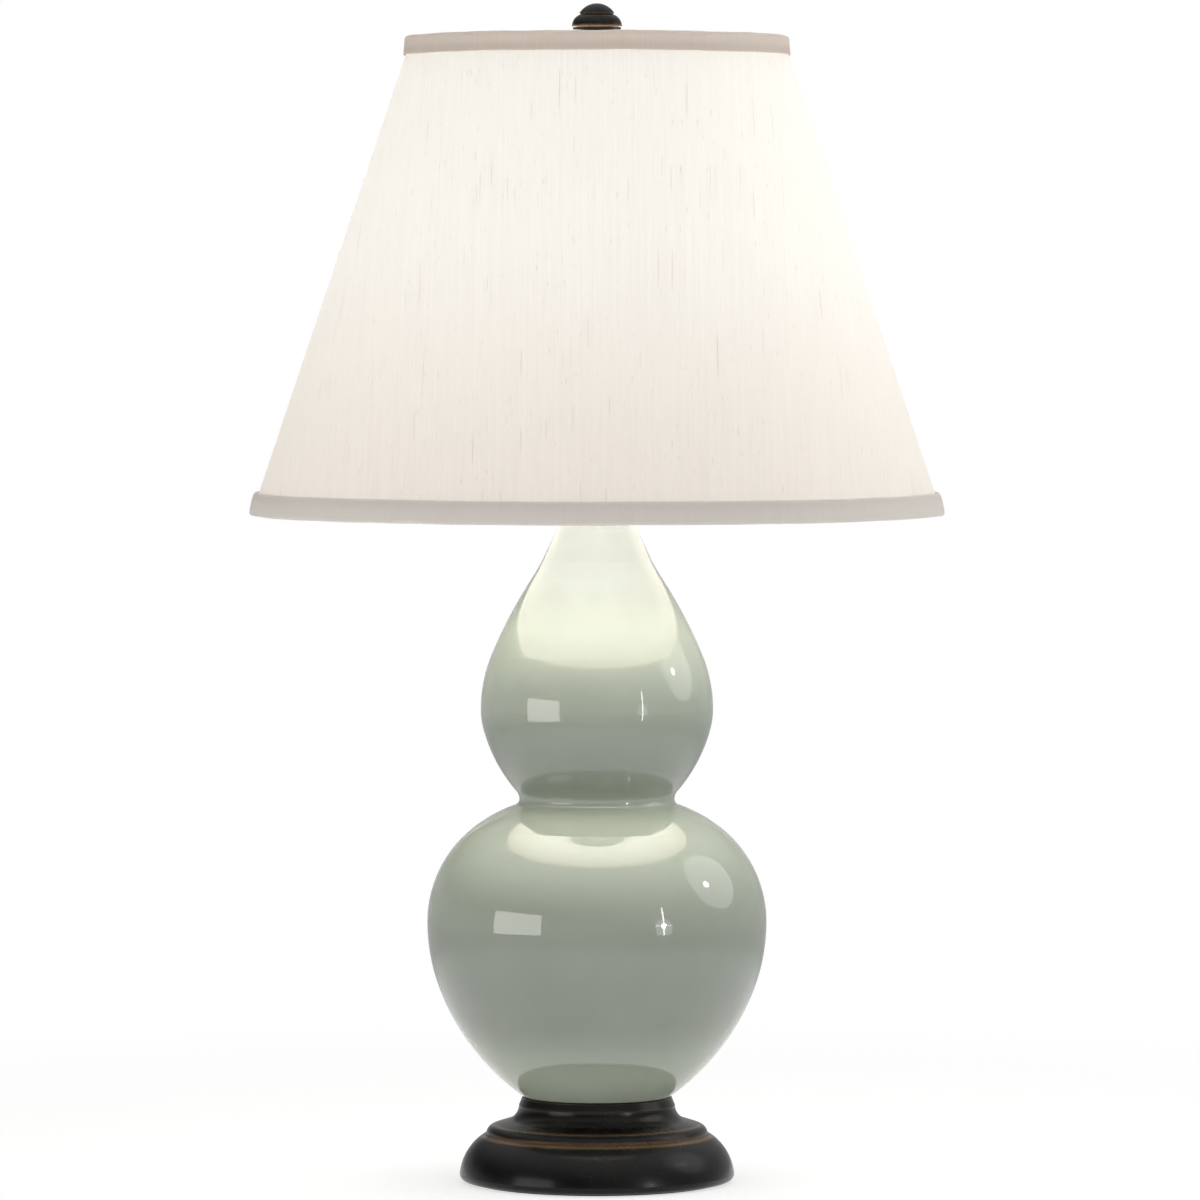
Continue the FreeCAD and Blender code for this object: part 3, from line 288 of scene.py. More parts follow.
ripple = noise(tree, placed(tree, (1, 1, 0.6)), 55.0, 1.0)
relief(tree, shader, ripple, 0.00010)
dress(celadon, "gourd_body")

# ------------------------------------------------------------------ cap and spool on the gourd's mouth
# A spun vase cap and a turned neck spool, finished like the base; a brass check ring clamps the stack.
cap_rings = [(0.017, 0.3375, 0.0008, 0.6), (0.008, 0.3403, 0.0006, 0.5), (0.008, 0.3457, 0.0006, 0.5)]
dress(dark_bronze("cap_bronze", cap_rings), "vase_cap", "neck_spool")

# ------------------------------------------------------------------ swivel stud and finial's insert
# Turned brass: a head under the crown, a shank, a collar that carries the shade, and a rolled 27-per-inch
# thread that the finial's tapped insert screws on to.
inch = 0.0254
crease = math.radians(40)


def helix(mesh, low, high, pitch, root, crest, points, steps, wave):
    """A screw surface round Z between two heights: one pitch of its profile, spun and climbing."""
    foot = low - pitch
    turns = math.ceil((high - foot) / pitch) + 1
    chain = mesh.edges.new((mesh.verts.new((root, 0, foot)), mesh.verts.new((root, 0, foot + pitch))))
    bmesh.ops.subdivide_edges(mesh, edges=[chain], cuts=points - 1)
    for corner in mesh.verts:
        corner.co.x = root + (crest - root) * wave((corner.co.z - foot) / pitch)
    bmesh.ops.spin(mesh, geom=mesh.verts[:] + mesh.edges[:], cent=(0, 0, 0), axis=(0, 0, 1),
                   dvec=(0, 0, pitch / steps), angle=2 * math.pi * turns, steps=steps * turns,
                   use_merge=False, use_duplicate=False)
    bmesh.ops.remove_doubles(mesh, verts=mesh.verts, dist=pitch / (12 * points))
    for level, upward in ((low, False), (high, True)):
        parts = mesh.verts[:] + mesh.edges[:] + mesh.faces[:]
        bmesh.ops.bisect_plane(mesh, geom=parts, dist=1e-7, plane_co=(0, 0, level), plane_no=(0, 0, 1),
                               clear_outer=upward, clear_inner=not upward)


def draw_on(mesh, level, course):
    """Extrudes the open rim at that height along a course of radius and height, and returns the last rim."""
    rim = [edge for edge in mesh.edges if edge.is_boundary
           and all(abs(corner.co.z - level) < 2e-6 for corner in edge.verts)]
    for radius, z in course:
        drawn_out = bmesh.ops.extrude_edge_only(mesh, edges=rim)["geom"]
        rim = [item for item in drawn_out if isinstance(item, bmesh.types.BMEdge)]
        for corner in {corner for edge in rim for corner in edge.verts}:
            angle = math.atan2(corner.co.y, corner.co.x)
            corner.co = (radius * math.cos(angle), radius * math.sin(angle), z)
    return rim


def smoothed(mesh):
    """Turns the normals outwards and shades smooth."""
    bmesh.ops.recalc_face_normals(mesh, faces=mesh.faces)
    for face in mesh.faces:
        face.smooth = True


def made_from(mesh, name):
    """Puts a bmesh into a new object in the scene."""
    data = bpy.data.meshes.new(name)
    mesh.to_mesh(data)
    mesh.free()
    made = bpy.data.objects.new(name, data)
    bpy.context.scene.collection.objects.link(made)
    return made


def threaded(mesh, name):
    """Makes the object of a screwed piece, with its normals outwards and its sharp edges kept."""
    smoothed(mesh)
    outward = sum(face.normal.dot(face.calc_center_median().xy.to_3d()) * face.calc_area()
                  for face in mesh.faces)
    if outward < 0:
        bmesh.ops.reverse_faces(mesh, faces=mesh.faces)
    for edge in mesh.edges:
        edge.smooth = len(edge.link_faces) < 2 or edge.calc_face_angle(0.0) < crease
    return made_from(mesh, name)


def turned_brass(name, pale, deep):
    """Lathe-turned brass with fine tool marks and a little tarnish."""
    material, tree, shader = coating(name, pale, Metallic=1.0, Roughness=0.3)
    here = placed(tree)
    tarnish = noise(tree, here, 300.0, 4.0, 0.6)
    tool_marks = noise(tree, placed(tree, (60, 60, 6000)), 1.0, 2.0)
    tree.links.new(blend(tree, spread(tree, tarnish, 0.35, 0.7), deep, pale), shader.inputs["Base Color"])
    tree.links.new(spread(tree, tarnish, 0.3, 0.7, 0.22, 0.38), shader.inputs["Roughness"])
    relief(tree, shader, tool_marks, 0.00002)
    return material


stud_low, stud_high = (corner.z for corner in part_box("harp_stud"))
seat = stud_high - 0.0098
collar_low = seat - 0.0019
head_top = stud_low + 0.0013
plain_end = 0.0006
stud_root, stud_crest, relieved = 0.00272, 0.00313, 0.0028
collar, collar_flat, shank = 0.0060, 0.0057, 0.0024
head, head_flat, head_under, head_bevel, dimple = 0.0040, 0.0038, 0.0037, 0.0003, 0.0012
stud_mesh = bmesh.new()
helix(stud_mesh, seat + plain_end, stud_high - plain_end, inch / 27, stud_root, stud_crest, 6, 24,
      lambda share: 1 - abs(2 * share - 1))
rim = draw_on(stud_mesh, seat + plain_end, [
    (relieved, seat + 0.0004), (relieved, seat), (collar_flat, seat), (collar, seat - 0.0003),
    (collar, collar_low + 0.0003), (collar_flat, collar_low), (shank, collar_low), (shank, head_top),
    (head_flat, head_top), (head, head_top - 0.0002), (head, stud_low + head_bevel), (head_under, stud_low),
    (dimple, stud_low)])
bmesh.ops.edgeloop_fill(stud_mesh, edges=rim)
rim = draw_on(stud_mesh, stud_high - plain_end,
              [(relieved, stud_high - 0.0004), (0.0025, stud_high), (0.0010, stud_high)])
bmesh.ops.edgeloop_fill(stud_mesh, edges=rim)
swivel_stud = threaded(stud_mesh, "swivel_stud")
turned = turned_brass("turned_brass", (0.58, 0.43, 0.2), (0.40, 0.27, 0.11))
swivel_stud.data.materials.append(turned)
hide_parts("harp_stud")
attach(swivel_stud, "stud")
dress(turned, "finial_insert")

# ------------------------------------------------------------------ check ring, harp and saddle
# Stamped and drawn brass-plated steel: a bent saddle, two wire legs with slotted feet and ferrules, and a
# crown block for the swivel stud. The lacquered plating has darkened a little and shows fine drawing lines.
brass, tree, shader = coating("aged_brass", (0.5, 0.36, 0.16), Metallic=1.0, Roughness=0.3)
here = placed(tree)
tarnish = noise(tree, here, 110.0, 5.0, 0.6)
fine = noise(tree, placed(tree, (900, 900, 90)), 1.0, 3.0)
tone = blend(tree, spread(tree, tarnish, 0.35, 0.7), (0.34, 0.22, 0.09), (0.58, 0.42, 0.19))
tree.links.new(tone, shader.inputs["Base Color"])
dull = sums(tree, "ADD", spread(tree, tarnish, 0.3, 0.7, 0.34, 0.2), sums(tree, "MULTIPLY", fine, 0.12))
tree.links.new(dull, shader.inputs["Roughness"])
relief(tree, shader, fine, 0.00002)
dress(brass, "check_ring", "harp_saddle", "harp_foot_right", "harp_foot_left", "harp_leg_right",
      "harp_leg_left", "harp_crown", "harp_ferrule_right", "harp_ferrule_left", "socket_cap", "socket_shell",
      "socket_terminal_screws", "socket_contact")

# ------------------------------------------------------------------ socket's paper liner
# A pressed paper sleeve between the brass shell and the live parts. Its fibres run up it and show as darker
# and paler flecks.
paper, tree, shader = coating("pressed_paper", (0.3, 0.23, 0.15), Roughness=0.85)
fibres = noise(tree, placed(tree, (1, 1, 0.3)), 900.0, 5.0, 0.7)
tree.links.new(blend(tree, fibres, (0.22, 0.165, 0.105), (0.4, 0.31, 0.21)), shader.inputs["Base Color"])
relief(tree, shader, fibres, 0.00005)
dress(paper, "socket_liner")

# ------------------------------------------------------------------ thread shell and bulb's tip
# Thin bright aluminium, drawn and rolled, with scuffs from screwing the bulb in and out. The bulb's cap is of
# the same metal.
bright, tree, shader = coating("rolled_aluminium", (0.75, 0.75, 0.76), Metallic=1.0, Roughness=0.28)
scuffs = noise(tree, placed(tree, (30, 30, 300)), 4.0, 4.0)
scuffed = blend(tree, spread(tree, scuffs, 0.35, 0.7), (0.62, 0.62, 0.64), (0.82, 0.82, 0.83))
tree.links.new(scuffed, shader.inputs["Base Color"])
tree.links.new(spread(tree, scuffs, 0.3, 0.7, 0.22, 0.42), shader.inputs["Roughness"])
relief(tree, shader, scuffs, 0.00002)
dress(bright, "socket_thread_shell", "bulb_contact")

# ------------------------------------------------------------------ bulb's screw cap
# A thin aluminium shell with a rolled thread of seven turns per inch, a plain skirt above it and a flange
# turned in over the black glass below.
cap_low, cap_high = (corner.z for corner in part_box("bulb_cap"))
thread_low, thread_high = cap_low + 0.0030, cap_high - 0.0072
thread_root, thread_crest = 0.01215, 0.01293
skirt, cap_metal = 0.01290, 0.00028
cap_mesh = bmesh.new()
helix(cap_mesh, thread_low, thread_high, inch / 7, thread_root, thread_crest, 10, 48,
      lambda share: 0.5 - 0.5 * math.cos(2 * math.pi * share))
draw_on(cap_mesh, thread_low, [
    (0.0126, cap_low + 0.0024), (0.0124, cap_low + 0.0019), (0.0099, cap_low + 0.0002),
    (0.0093, cap_low + 0.00001), (0.0084, cap_low + 0.00001)])
draw_on(cap_mesh, thread_high, [
    (0.0127, thread_high + 0.0003), (skirt, thread_high + 0.0007), (skirt, cap_high - 0.0008),
    (skirt + 0.00008, cap_high - 0.0004), (skirt - 0.0001, cap_high - 0.00002)])
screw_cap = threaded(cap_mesh, "screw_cap")


def walled(piece, label, thickness, offset):
    """Gives a sheet its thickness: inside its mesh at an offset of -1, outside at 1."""
    wall = piece.modifiers.new(label, "SOLIDIFY")
    wall.thickness = thickness
    wall.offset = offset


walled(screw_cap, "metal", cap_metal, -1.0)
screw_cap.data.materials.append(bright)
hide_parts("bulb_cap")
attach(screw_cap, "bulb")

# ------------------------------------------------------------------ light bulb
# A frosted glass globe on a screw cap, lit: the coating inside the glass spreads the filament's warm light.
# The glass lies inside the ball of its lamp, and with a base colour it rendered plain white, so its base is
# black and only its own glow shows.
glass_neck = 0.425, 0.452
lamp_radius, lamp_below_top = 0.032, 0.036
frosted, tree, shader = coating("lit_frosted_glass", (0.0, 0.0, 0.0), Roughness=0.5, Specular_IOR_Level=0.0,
                                Emission_Strength=1.0)
powder = noise(tree, placed(tree), 300.0, 3.0)
neck_dim = spread(tree, height_on(tree), *glass_neck, 0.25, 1.0)
warm = blend(tree, powder, (1.0, 0.93, 0.84), (1.0, 0.95, 0.88))
# Painted shade: the glow is made darker and warmer towards the globe's rim as seen.
toward_rim = lay(tree, "LayerWeight", {"Blend": 0.5}).outputs["Facing"]
globe = blend(tree, spread(tree, toward_rim, 0.2, 0.95), warm, (0.58, 0.47, 0.34))
tree.links.new(blend(tree, neck_dim, (0.2, 0.13, 0.07), globe), shader.inputs["Emission Color"])
dress(frosted, "bulb_glass")

# The light comes from a ball just outside the glass, so that the glass doesn't shade it.
bulb_light = bpy.data.lights.new("bulb_light", "POINT")
bulb_light.energy = 0.5
bulb_light.color = (1.0, 0.965, 0.915)
bulb_light.shadow_soft_size = lamp_radius
bulb_light.use_soft_falloff = False
bulb_lamp = bpy.data.objects.new("bulb_light", bulb_light)
bulb_lamp.location = (0, 0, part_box("bulb_glass")[1].z - lamp_below_top)
bulb_lamp.visible_camera = False
bpy.context.scene.collection.objects.link(bulb_lamp)
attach(bulb_lamp, "bulb")

# ------------------------------------------------------------------ bulb's insulator, stem and filament
# A ring of black glass holds the tip in the cap. A clear stem, with small seeds in the glass, carries the
# drawn tungsten wires.
dark_glass, tree, shader = coating("black_glass", (0.012, 0.012, 0.02), Roughness=0.12)
swirl = noise(tree, placed(tree), 400.0, 3.0)
tree.links.new(blend(tree, swirl, (0.01, 0.01, 0.018), (0.03, 0.03, 0.045)), shader.inputs["Base Color"])
dress(dark_glass, "bulb_insulator")

clear_glass, tree, shader = coating("stem_glass", (0.95, 0.97, 0.96), Roughness=0.05, Transmission_Weight=1.0)
seeds = noise(tree, placed(tree), 500.0, 2.0)
tree.links.new(spread(tree, seeds, 0.3, 0.7, 0.03, 0.12), shader.inputs["Roughness"])
dress(clear_glass, "bulb_stem")

tungsten, tree, shader = coating("tungsten_wire", (0.4, 0.39, 0.37), Metallic=1.0, Roughness=0.4)
drawn = noise(tree, placed(tree), 1200.0, 2.0)
tree.links.new(spread(tree, drawn, 0.3, 0.7, 0.3, 0.5), shader.inputs["Roughness"])
dress(tungsten, "bulb_filament")

# ------------------------------------------------------------------ shade frame
# Steel wire, welded into a top ring with three arms and a washer, and a loose bottom ring; both are dipped
# in white enamel, which is thicker in the corners and a little yellowed.
enamel, tree, shader = coating("white_enamel", (0.78, 0.76, 0.71), Roughness=0.35, Coat_Weight=0.3)
sag = noise(tree, placed(tree), 140.0, 4.0)
dipped = blend(tree, spread(tree, sag, 0.35, 0.7), (0.72, 0.69, 0.62), (0.82, 0.80, 0.76))
tree.links.new(dipped, shader.inputs["Base Color"])
tree.links.new(spread(tree, sag, 0.3, 0.7, 0.28, 0.45), shader.inputs["Roughness"])
relief(tree, shader, sag, 0.00010)
dress(enamel, "shade_spider_frame", "shade_bottom_ring")

# ------------------------------------------------------------------ shade liner
# A white styrene sheet, rolled into a cone: the cloth is laminated on its outside. Its own glow, fitted to the
# photograph, stands for the light that goes back and forth inside the shade.
liner, tree, shader = coating("styrene_liner", (0.9, 0.88, 0.83), Roughness=0.4, Emission_Strength=1.85)
mottle = noise(tree, placed(tree), 30.0, 4.0)
tree.links.new(blend(tree, mottle, (0.94, 0.93, 0.91), (0.96, 0.95, 0.935)), shader.inputs["Base Color"])
milky = lay(tree, "BsdfTranslucent", {"Color": (0.98, 0.975, 0.965, 1)})
half = lay(tree, "MixShader", {0: 0.15, 1: shader.outputs[0], 2: milky.outputs[0]})
tree.links.new(half.outputs[0], tree.nodes["Material Output"].inputs["Surface"])
lit_part = blend(tree, spread(tree, height_on(tree), 0.33, 0.48), (0.72, 0.66, 0.60), (1.0, 0.99, 0.965))
tree.links.new(blend(tree, mottle, lit_part, (1.0, 0.97, 0.93), "MULTIPLY"), shader.inputs["Emission Color"])
relief(tree, shader, noise(tree, placed(tree), 200.0, 2.0), 0.00003)

shade_low, shade_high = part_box("shade_fabric")
rim_low, rim_high = shade_low.z, shade_high.z
cloth_bottom_radius = shade_high.x
cone_bottom, cone_top, cone_height = 0.1695, 0.0908, 0.234
cloth_slope = (cone_bottom - cone_top) / cone_height
cloth_top_radius = cloth_bottom_radius - cloth_slope * (rim_high - rim_low)
liner_wall = 0.0007
liner_inset = 0.0008
liner_mesh = bmesh.new()
foot_corner = liner_mesh.verts.new((cloth_bottom_radius - liner_inset, 0, rim_low))
rim_corner = liner_mesh.verts.new((cloth_top_radius - liner_inset, 0, rim_high))
edge = liner_mesh.edges.new((foot_corner, rim_corner))
bmesh.ops.subdivide_edges(liner_mesh, edges=[edge], cuts=7)
bmesh.ops.spin(liner_mesh, geom=liner_mesh.verts[:] + liner_mesh.edges[:], cent=(0, 0, 0), axis=(0, 0, 1),
               dvec=(0, 0, 0), angle=2 * math.pi, steps=240, use_merge=True, use_duplicate=False)
bmesh.ops.remove_doubles(liner_mesh, verts=liner_mesh.verts, dist=1e-6)
smoothed(liner_mesh)
liner_sheet = made_from(liner_mesh, "liner_sheet")
walled(liner_sheet, "wall", liner_wall, -1.0)
liner_sheet.data.materials.append(liner)
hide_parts("shade_liner")
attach(liner_sheet, "shade")

# ------------------------------------------------------------------ shade cloth
# Off-white slubbed silk, cut flat as a sector and stretched over the liner, so the threads run straight down
# at the front and slant towards the lapped seam at the back. Thick slubs show as short darker dashes.
cloth_thickness = 0.0004
cloth_lap = 0.010
lap_lift, lap_rise = 0.00055, 0.02
cloth_through, lap_through = 0.134, 0.48
cloth_steps, cloth_rows = 240, 28
slant = math.hypot(1.0, cloth_slope)
apex_share = cloth_slope / slant


def cloth_line(up):
    """Radius and height of the cloth's inner face, at a share of the way up the shade."""
    z = rim_low + up * (rim_high - rim_low)
    return cloth_bottom_radius - cloth_slope * (z - rim_low) - cloth_thickness, z


cloth_mesh = bmesh.new()
bmesh.ops.create_grid(cloth_mesh, x_segments=cloth_steps, y_segments=cloth_rows, size=0.5)
cut = cloth_mesh.loops.layers.uv.new("cloth")
full_turn = 2 * math.pi + cloth_lap / cloth_bottom_radius
for corner in cloth_mesh.verts:
    corner.co.x = (corner.co.x + 0.5) * full_turn
    corner.co.y += 0.5
for face in cloth_mesh.faces:
    for loop in face.loops:
        radius, z = cloth_line(loop.vert.co.y)
        from_apex = radius / apex_share
        angle = (loop.vert.co.x - math.pi) * apex_share
        loop[cut].uv = (from_apex * math.sin(angle), -from_apex * math.cos(angle))
# The flat sheet, x round the shade from the back and y up it, is rolled into a cone and its end lapped over.
for corner in cloth_mesh.verts:
    turn = corner.co.x
    radius, z = cloth_line(corner.co.y)
    radius += lap_lift * max(0.0, min(1.0, (turn - 2 * math.pi) / lap_rise + 1.0))
    corner.co = (radius * math.sin(turn), radius * math.cos(turn), z)
smoothed(cloth_mesh)
shade_cloth = made_from(cloth_mesh, "shade_cloth")
walled(shade_cloth, "thickness", cloth_thickness, 1.0)


def dupioni_group():
    """Tone, slubs and height of slubbed silk, from the flat cloth in metres with the slub thread along Y."""
    group = bpy.data.node_groups.new("dupioni", "ShaderNodeTree")
    group.interface.new_socket("Cloth", in_out="INPUT", socket_type="NodeSocketVector")
    for label in ("Tone", "Slub", "Height"):
        group.interface.new_socket(label, in_out="OUTPUT", socket_type="NodeSocketFloat")
    given, result = group.nodes.new("NodeGroupInput"), group.nodes.new("NodeGroupOutput")

    def along(scale):
        """The flat cloth, stretched for a thread pattern."""
        return lay(group, "Mapping", {"Vector": given.outputs[0], "Scale": scale}).outputs[0]

    streaks = noise(group, along((620, 9, 1)), 1.0, 3.0, 0.6)
    yarns = noise(group, along((1500, 45, 1)), 1.0, 2.0, 0.6)
    picks = noise(group, along((260, 1300, 1)), 1.0, 1.0)
    tone = sums(group, "ADD", sums(group, "MULTIPLY", streaks, 0.55), sums(group, "MULTIPLY", yarns, 0.45))
    short = spread(group, noise(group, along((1000, 130, 1)), 1.0, 1.0), 0.68, 0.78)
    long = spread(group, noise(group, along((1100, 24, 1)), 1.0, 1.0), 0.70, 0.77)
    slub = sums(group, "MAXIMUM", sums(group, "MULTIPLY", short, 0.7), long)
    height = sums(group, "ADD", sums(group, "ADD", yarns, sums(group, "MULTIPLY", picks, 0.5)), slub)
    for socket, value in enumerate((tone, slub, height)):
        group.links.new(value, result.inputs[socket])
    return group


dupioni = dupioni_group()


def silk(name, pale, deep, slub_colour, see_through, low_glow, high_glow, slub_share):
    """Slubbed silk that lets a share of light through; that light is painted one colour low on the shade and
    another high up.
    """
    material, tree, shader = coating(name, pale, Roughness=0.75, Sheen_Weight=0.25, Sheen_Roughness=0.4)
    cloth_way = lay(tree, "UVMap", uv_map="cloth").outputs[0]
    threads = lay(tree, "Group", {0: cloth_way}, node_tree=dupioni)
    tone = blend(tree, spread(tree, threads.outputs["Tone"], 0.35, 0.65), deep, pale)
    colour = blend(tree, sums(tree, "MULTIPLY", threads.outputs["Slub"], slub_share), tone, slub_colour)
    tree.links.new(colour, shader.inputs["Base Color"])
    relief(tree, shader, threads.outputs["Height"], 0.00010)
    yarn = spread(tree, threads.outputs["Tone"], 0.3, 0.7, 0.965, 1.0)
    yarn = sums(tree, "SUBTRACT", yarn, sums(tree, "MULTIPLY", threads.outputs["Slub"], 0.2 * slub_share))
    # Painted light: the light let through changes colour with height.
    glow = blend(tree, spread(tree, height_on(tree), 0.335, 0.50), low_glow, high_glow)
    through = blend(tree, yarn, (0, 0, 0), glow)
    lit = lay(tree, "BsdfTranslucent", {"Color": through})
    both = lay(tree, "MixShader", {0: see_through, 1: shader.outputs[0], 2: lit.outputs[0]})
    tree.links.new(both.outputs[0], tree.nodes["Material Output"].inputs["Surface"])
    return material, both


shade_silk, lit_cloth = silk("shade_silk", (0.83, 0.815, 0.785), (0.80, 0.78, 0.745), (0.58, 0.52, 0.45),
                             cloth_through, (0.98, 0.955, 0.93), (1.0, 1.0, 0.985), 0.6)
# The photograph doesn't show the seam. Its laps let more light through here, so that two layers stay faint.
tree = shade_silk.node_tree
flat_place = lay(tree, "SeparateXYZ", {0: lay(tree, "UVMap", uv_map="cloth").outputs[0]})
flat_turn = sums(tree, "ARCTAN2", flat_place.outputs[0], sums(tree, "MULTIPLY", flat_place.outputs[1], -1.0))
first_end = (cloth_lap / cloth_bottom_radius - math.pi) * apex_share
last_end = math.pi * apex_share
lap_edge = 0.003 * apex_share
lapped = sums(tree, "MAXIMUM", spread(tree, flat_turn, first_end + lap_edge, first_end - lap_edge),
              spread(tree, flat_turn, last_end - lap_edge, last_end + lap_edge))
tree.links.new(spread(tree, lapped, 0.0, 1.0, cloth_through, lap_through), lit_cloth.inputs[0])
shade_cloth.data.materials.append(shade_silk)
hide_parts("shade_fabric")
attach(shade_cloth, "shade")

# ------------------------------------------------------------------ tapes over the rims
# The same silk on the straight grain, cut in strips, folded under at the free edge and glued over each rim:
# up the outside, round the rim and in behind the wire ring. The ends lap at the back, next to the shade's seam.
tape_cloth, tape_lap, tape_lift, tape_rise = 0.00038, 0.010, 0.0005, 0.03
tape_silk = silk("tape_silk", (0.94, 0.935, 0.93), (0.90, 0.89, 0.88), (0.76, 0.73, 0.70), 0.60,
                 (1.0, 0.98, 0.96), (1.0, 0.93, 0.86), 0.15)[0]


def off_cloth(z, out):
    """A place that far outside the stretched cloth, at height z."""
    return cloth_bottom_radius - cloth_slope * (z - rim_low) + out, z


def tape_band(name, node, course, base_radius, steps, wave):
    """A strip laid along a course of radius and height, from its hidden hem to its inner edge, and lapped."""
    band = bmesh.new()
    bmesh.ops.create_grid(band, x_segments=steps, y_segments=len(course) - 1, size=0.5)
    lengths = [0.0]
    for near, far in zip(course, course[1:]):
        lengths.append(lengths[-1] + math.hypot(far[0] - near[0], far[1] - near[1]))
    flat_layer = band.loops.layers.uv.new("cloth")
    whole = 2 * math.pi + tape_lap / base_radius
    for corner in band.verts:
        corner.co.x = (corner.co.x + 0.5) * whole
        corner.co.y = round((corner.co.y + 0.5) * (len(course) - 1))
    for face in band.faces:
        for loop in face.loops:
            loop[flat_layer].uv = (loop.vert.co.x * base_radius, lengths[int(loop.vert.co.y)])
    for corner in band.verts:
        turn = corner.co.x
        radius, z = course[int(corner.co.y)]
        drawn = math.sin(7 * turn) + 0.7 * math.sin(17 * turn + 1.0) + 0.5 * math.sin(31 * turn + 2.0)
        over = max(0.0, min(1.0, (turn - 2 * math.pi) / tape_rise + 0.5))
        radius += tape_lift * over
        corner.co = (radius * math.sin(turn), radius * math.cos(turn), z + wave * drawn * lengths[-1])
    smoothed(band)
    made = made_from(band, name)
    walled(made, "thickness", tape_cloth, 0.0)
    smooth = made.modifiers.new("rounding", "SUBSURF")
    smooth.levels = smooth.render_levels = 1
    made.data.materials.append(tape_silk)
    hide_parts(node)
    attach(made, "shade")


# Each course runs from the folded hem over the outside, then round the rim, then in behind the wire ring.
top_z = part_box("shade_top_tape")[1].z - 0.5 * tape_cloth
top_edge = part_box("shade_top_tape")[0].z + 0.5 * tape_cloth
top_inner = 0.0862 - 0.5 * tape_cloth
top_course = [off_cloth(top_edge + rise, out) for rise, out in (
    (0.0040, 0.00025), (0.0012, 0.00025), (0.0002, 0.00030), (0.0, 0.00050), (0.0004, 0.00072),
    (0.0018, 0.00100), (0.0045, 0.00160))]
top_course += [off_cloth(top_z - drop, out) for drop, out in (
    (0.0019, 0.00245), (0.0009, 0.00262), (0.0002, 0.00220), (0.0, 0.00130))]
top_course += [(top_inner + 0.0012, top_z), (top_inner + 0.0002, top_z - 0.0002),
               (top_inner, top_z - 0.0010), (top_inner, top_z - 0.0042)]
tape_band("top_tape", "shade_top_tape", top_course, 0.0925, 180, 0.004)

low_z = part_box("shade_bottom_tape")[0].z + 0.5 * tape_cloth
low_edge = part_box("shade_bottom_tape")[1].z - 0.5 * tape_cloth
low_inner = 0.1643 - 0.5 * tape_cloth
low_course = [off_cloth(low_edge - drop, out) for drop, out in (
    (0.0045, 0.00025), (0.0012, 0.00025), (0.0002, 0.00060), (0.0, 0.00120), (0.0004, 0.00175),
    (0.0016, 0.00195), (0.0055, 0.00175))]
low_course += [off_cloth(low_z + rise, out) for rise, out in (
    (0.0019, 0.00120), (0.0009, 0.00095), (0.0002, 0.00045), (0.0, -0.00040))]
low_course += [(low_inner + 0.0012, low_z), (low_inner + 0.0002, low_z + 0.0002),
               (low_inner, low_z + 0.0010), (low_inner, low_z + 0.0042)]
tape_band("bottom_tape", "shade_bottom_tape", low_course, 0.1700, 300, 0.003)

# ------------------------------------------------------------------ finial
# A turned knob of two stacked domes on a narrow foot, finished like the base, with a brass insert.
finial_rings = [(0.0079, 0.5727, 0.0004, 0.8), (0.0122, 0.5668, 0.0006, 0.4)]
dress(dark_bronze("finial_bronze", finial_rings), "finial_knob")

# ------------------------------------------------------------------ floor, backdrop and lights
# A white sweep under and behind the lamp, a soft box at the front left, a small lamp at the front right and a
# round reflector at the right. The camera sees the sweep and the world white; mirrored rays see them darker,
# which was fitted to the reflections in the photograph.
floor_mesh = bmesh.new()
bmesh.ops.create_circle(floor_mesh, cap_ends=True, segments=96, radius=9.0)
floor = made_from(floor_mesh, "floor")

backdrop_mesh = bmesh.new()
bmesh.ops.create_grid(backdrop_mesh, x_segments=1, y_segments=1, size=2.2)
bmesh.ops.rotate(backdrop_mesh, verts=backdrop_mesh.verts, cent=(0, 0, 0),
                 matrix=Matrix.Rotation(math.pi / 2, 3, "X"))
bmesh.ops.translate(backdrop_mesh, verts=backdrop_mesh.verts, vec=(0, 8.0, 2.0))
backdrop = made_from(backdrop_mesh, "backdrop")

mirrored_white = 0.48
shadow_reach = 0.30, 0.85


def sweep(name, own_white, shadow_share):
    """White paper: it takes shadows near the lamp, mirrored and transmitted rays see it darker far off, light
    that bounces meets pale paint, and it is clear from behind."""
    material = bpy.data.materials.new(name)
    material.use_nodes = True
    tree = material.node_tree
    tree.nodes.remove(tree.nodes["Principled BSDF"])
    paint = lay(tree, "BsdfDiffuse", {"Color": (0.8, 0.8, 0.8, 1)})
    seen_paint = lay(tree, "BsdfDiffuse", {"Color": (shadow_share,) * 3 + (1,)})
    white = lay(tree, "Emission", {"Color": (1, 1, 1, 1), "Strength": own_white})
    seen = lay(tree, "AddShader", {0: seen_paint.outputs[0], 1: white.outputs[0]})
    way = lay(tree, "LightPath")
    looked = sums(tree, "MAXIMUM", way.outputs["Is Camera Ray"], way.outputs["Is Glossy Ray"])
    looked = sums(tree, "MAXIMUM", looked, way.outputs["Is Transmission Ray"])
    spot = lay(tree, "TexCoord").outputs["Object"]
    away = lay(tree, "VectorMath", {0: spot}, operation="LENGTH").outputs["Value"]
    far = spread(tree, away, *shadow_reach)
    distant = spread(tree, way.outputs["Is Camera Ray"], 0.0, 1.0, mirrored_white, 1.0)
    plain = lay(tree, "Emission", {"Color": (1, 1, 1, 1), "Strength": distant})
    seen = lay(tree, "MixShader", {0: far, 1: seen.outputs[0], 2: plain.outputs[0]})
    both = lay(tree, "MixShader", {0: looked, 1: paint.outputs[0], 2: seen.outputs[0]})
    clear = lay(tree, "BsdfTransparent")
    behind = lay(tree, "NewGeometry").outputs["Backfacing"]
    both = lay(tree, "MixShader", {0: behind, 1: both.outputs[0], 2: clear.outputs[0]})
    tree.links.new(both.outputs[0], tree.nodes["Material Output"].inputs["Surface"])
    return material


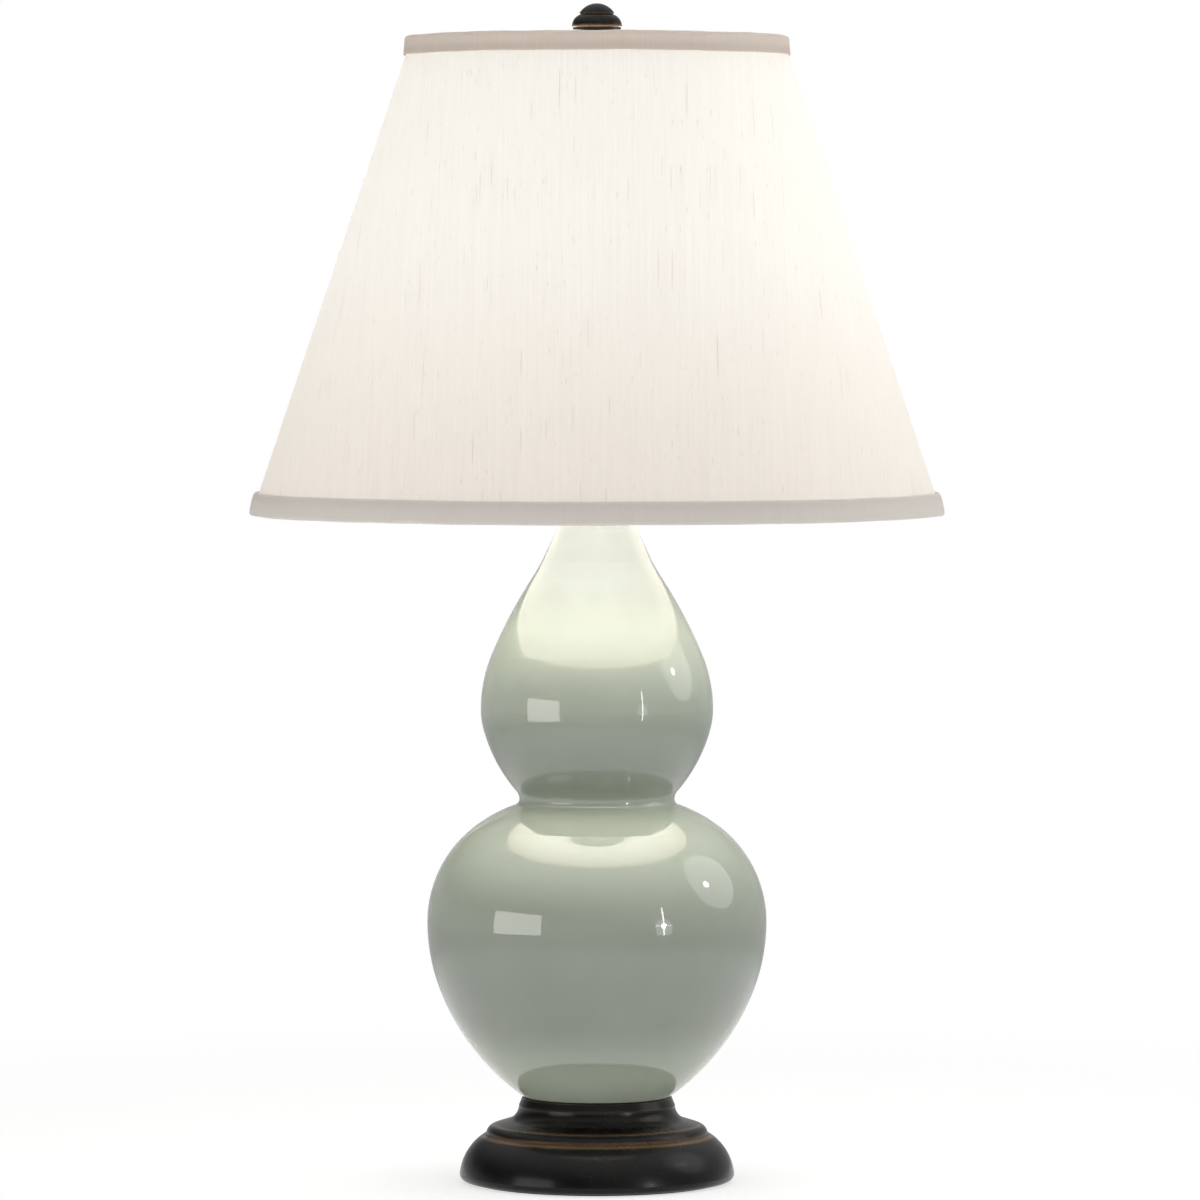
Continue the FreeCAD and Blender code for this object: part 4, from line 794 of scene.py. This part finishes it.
floor.data.materials.append(sweep("floor_paper", 0.66, 0.42))
backdrop.data.materials.append(sweep("backdrop_paper", 1.0, 0.0))

# The world is dim at the sides and bright overhead for the object, and white for the camera.
world = bpy.data.worlds.new("studio")
bpy.context.scene.world = world
world.use_nodes = True
tree = world.node_tree
way = lay(tree, "TexCoord")
ways = lay(tree, "SeparateXYZ", {0: way.outputs["Generated"]}).outputs
sides = blend(tree, spread(tree, ways[0], -0.9, 0.9), (0.09, 0.092, 0.095), (0.42, 0.42, 0.41))
glow = blend(tree, spread(tree, ways[2], 0.25, 1.0), sides, (0.9, 0.9, 0.9))
glow = blend(tree, spread(tree, ways[2], 0.0, 0.26), (0.44, 0.44, 0.44), glow)
glow = blend(tree, lay(tree, "LightPath").outputs["Is Camera Ray"], glow, (1.0, 1.0, 1.0))
tree.nodes["Background"].inputs["Strength"].default_value = 1.0
tree.links.new(glow, tree.nodes["Background"].inputs["Color"])


def studio_light(name, shape, size, azimuth, distance, height, aim, radiance, colour=(1, 1, 1)):
    """An area lamp round the object: azimuth 0 is towards the camera and 90 to the right, in degrees. It looks
    as bright as its radiance, where 1 is white."""
    data = bpy.data.lights.new(name, "AREA")
    data.shape = shape
    data.size = size[0]
    if shape == "RECTANGLE":
        data.size_y = size[1]
    area = size[0] * size[1] if shape == "RECTANGLE" else math.pi * (0.5 * size[0]) ** 2
    data.energy = radiance * math.pi * area
    data.color = colour
    lamp = bpy.data.objects.new(name, data)
    turn = math.radians(azimuth)
    lamp.location = (distance * math.sin(turn), -distance * math.cos(turn), height)
    lamp.rotation_mode = "QUATERNION"
    lamp.rotation_quaternion = (lamp.location - Vector((0, 0, aim))).to_track_quat("Z", "Y")
    lamp.visible_camera = False
    bpy.context.scene.collection.objects.link(lamp)


waist = 0.19
studio_light("soft_box", "RECTANGLE", (0.66, 0.36), -54, 1.05, waist, waist, 2.2, (1, 0.98, 0.955))
studio_light("spark", "DISK", (0.08, 0.08), 45, 1.2, waist, waist, 22.0)
studio_light("spark_upright", "RECTANGLE", (0.020, 0.70), 45, 1.22, waist, waist, 8.0)
studio_light("spark_level", "RECTANGLE", (0.26, 0.024), 45, 1.23, waist, waist, 2.5)
studio_light("spark_halo", "DISK", (0.26, 0.26), 45, 1.24, waist, waist, 1.1)
studio_light("reflector", "DISK", (0.62, 0.62), 96, 0.8, 0.57, 0.25, 0.9)
studio_light("reflector_lamp", "DISK", (0.07, 0.07), 88, 0.78, 0.54, 0.25, 7.0)

bpy.context.scene.view_settings.view_transform = "Standard"
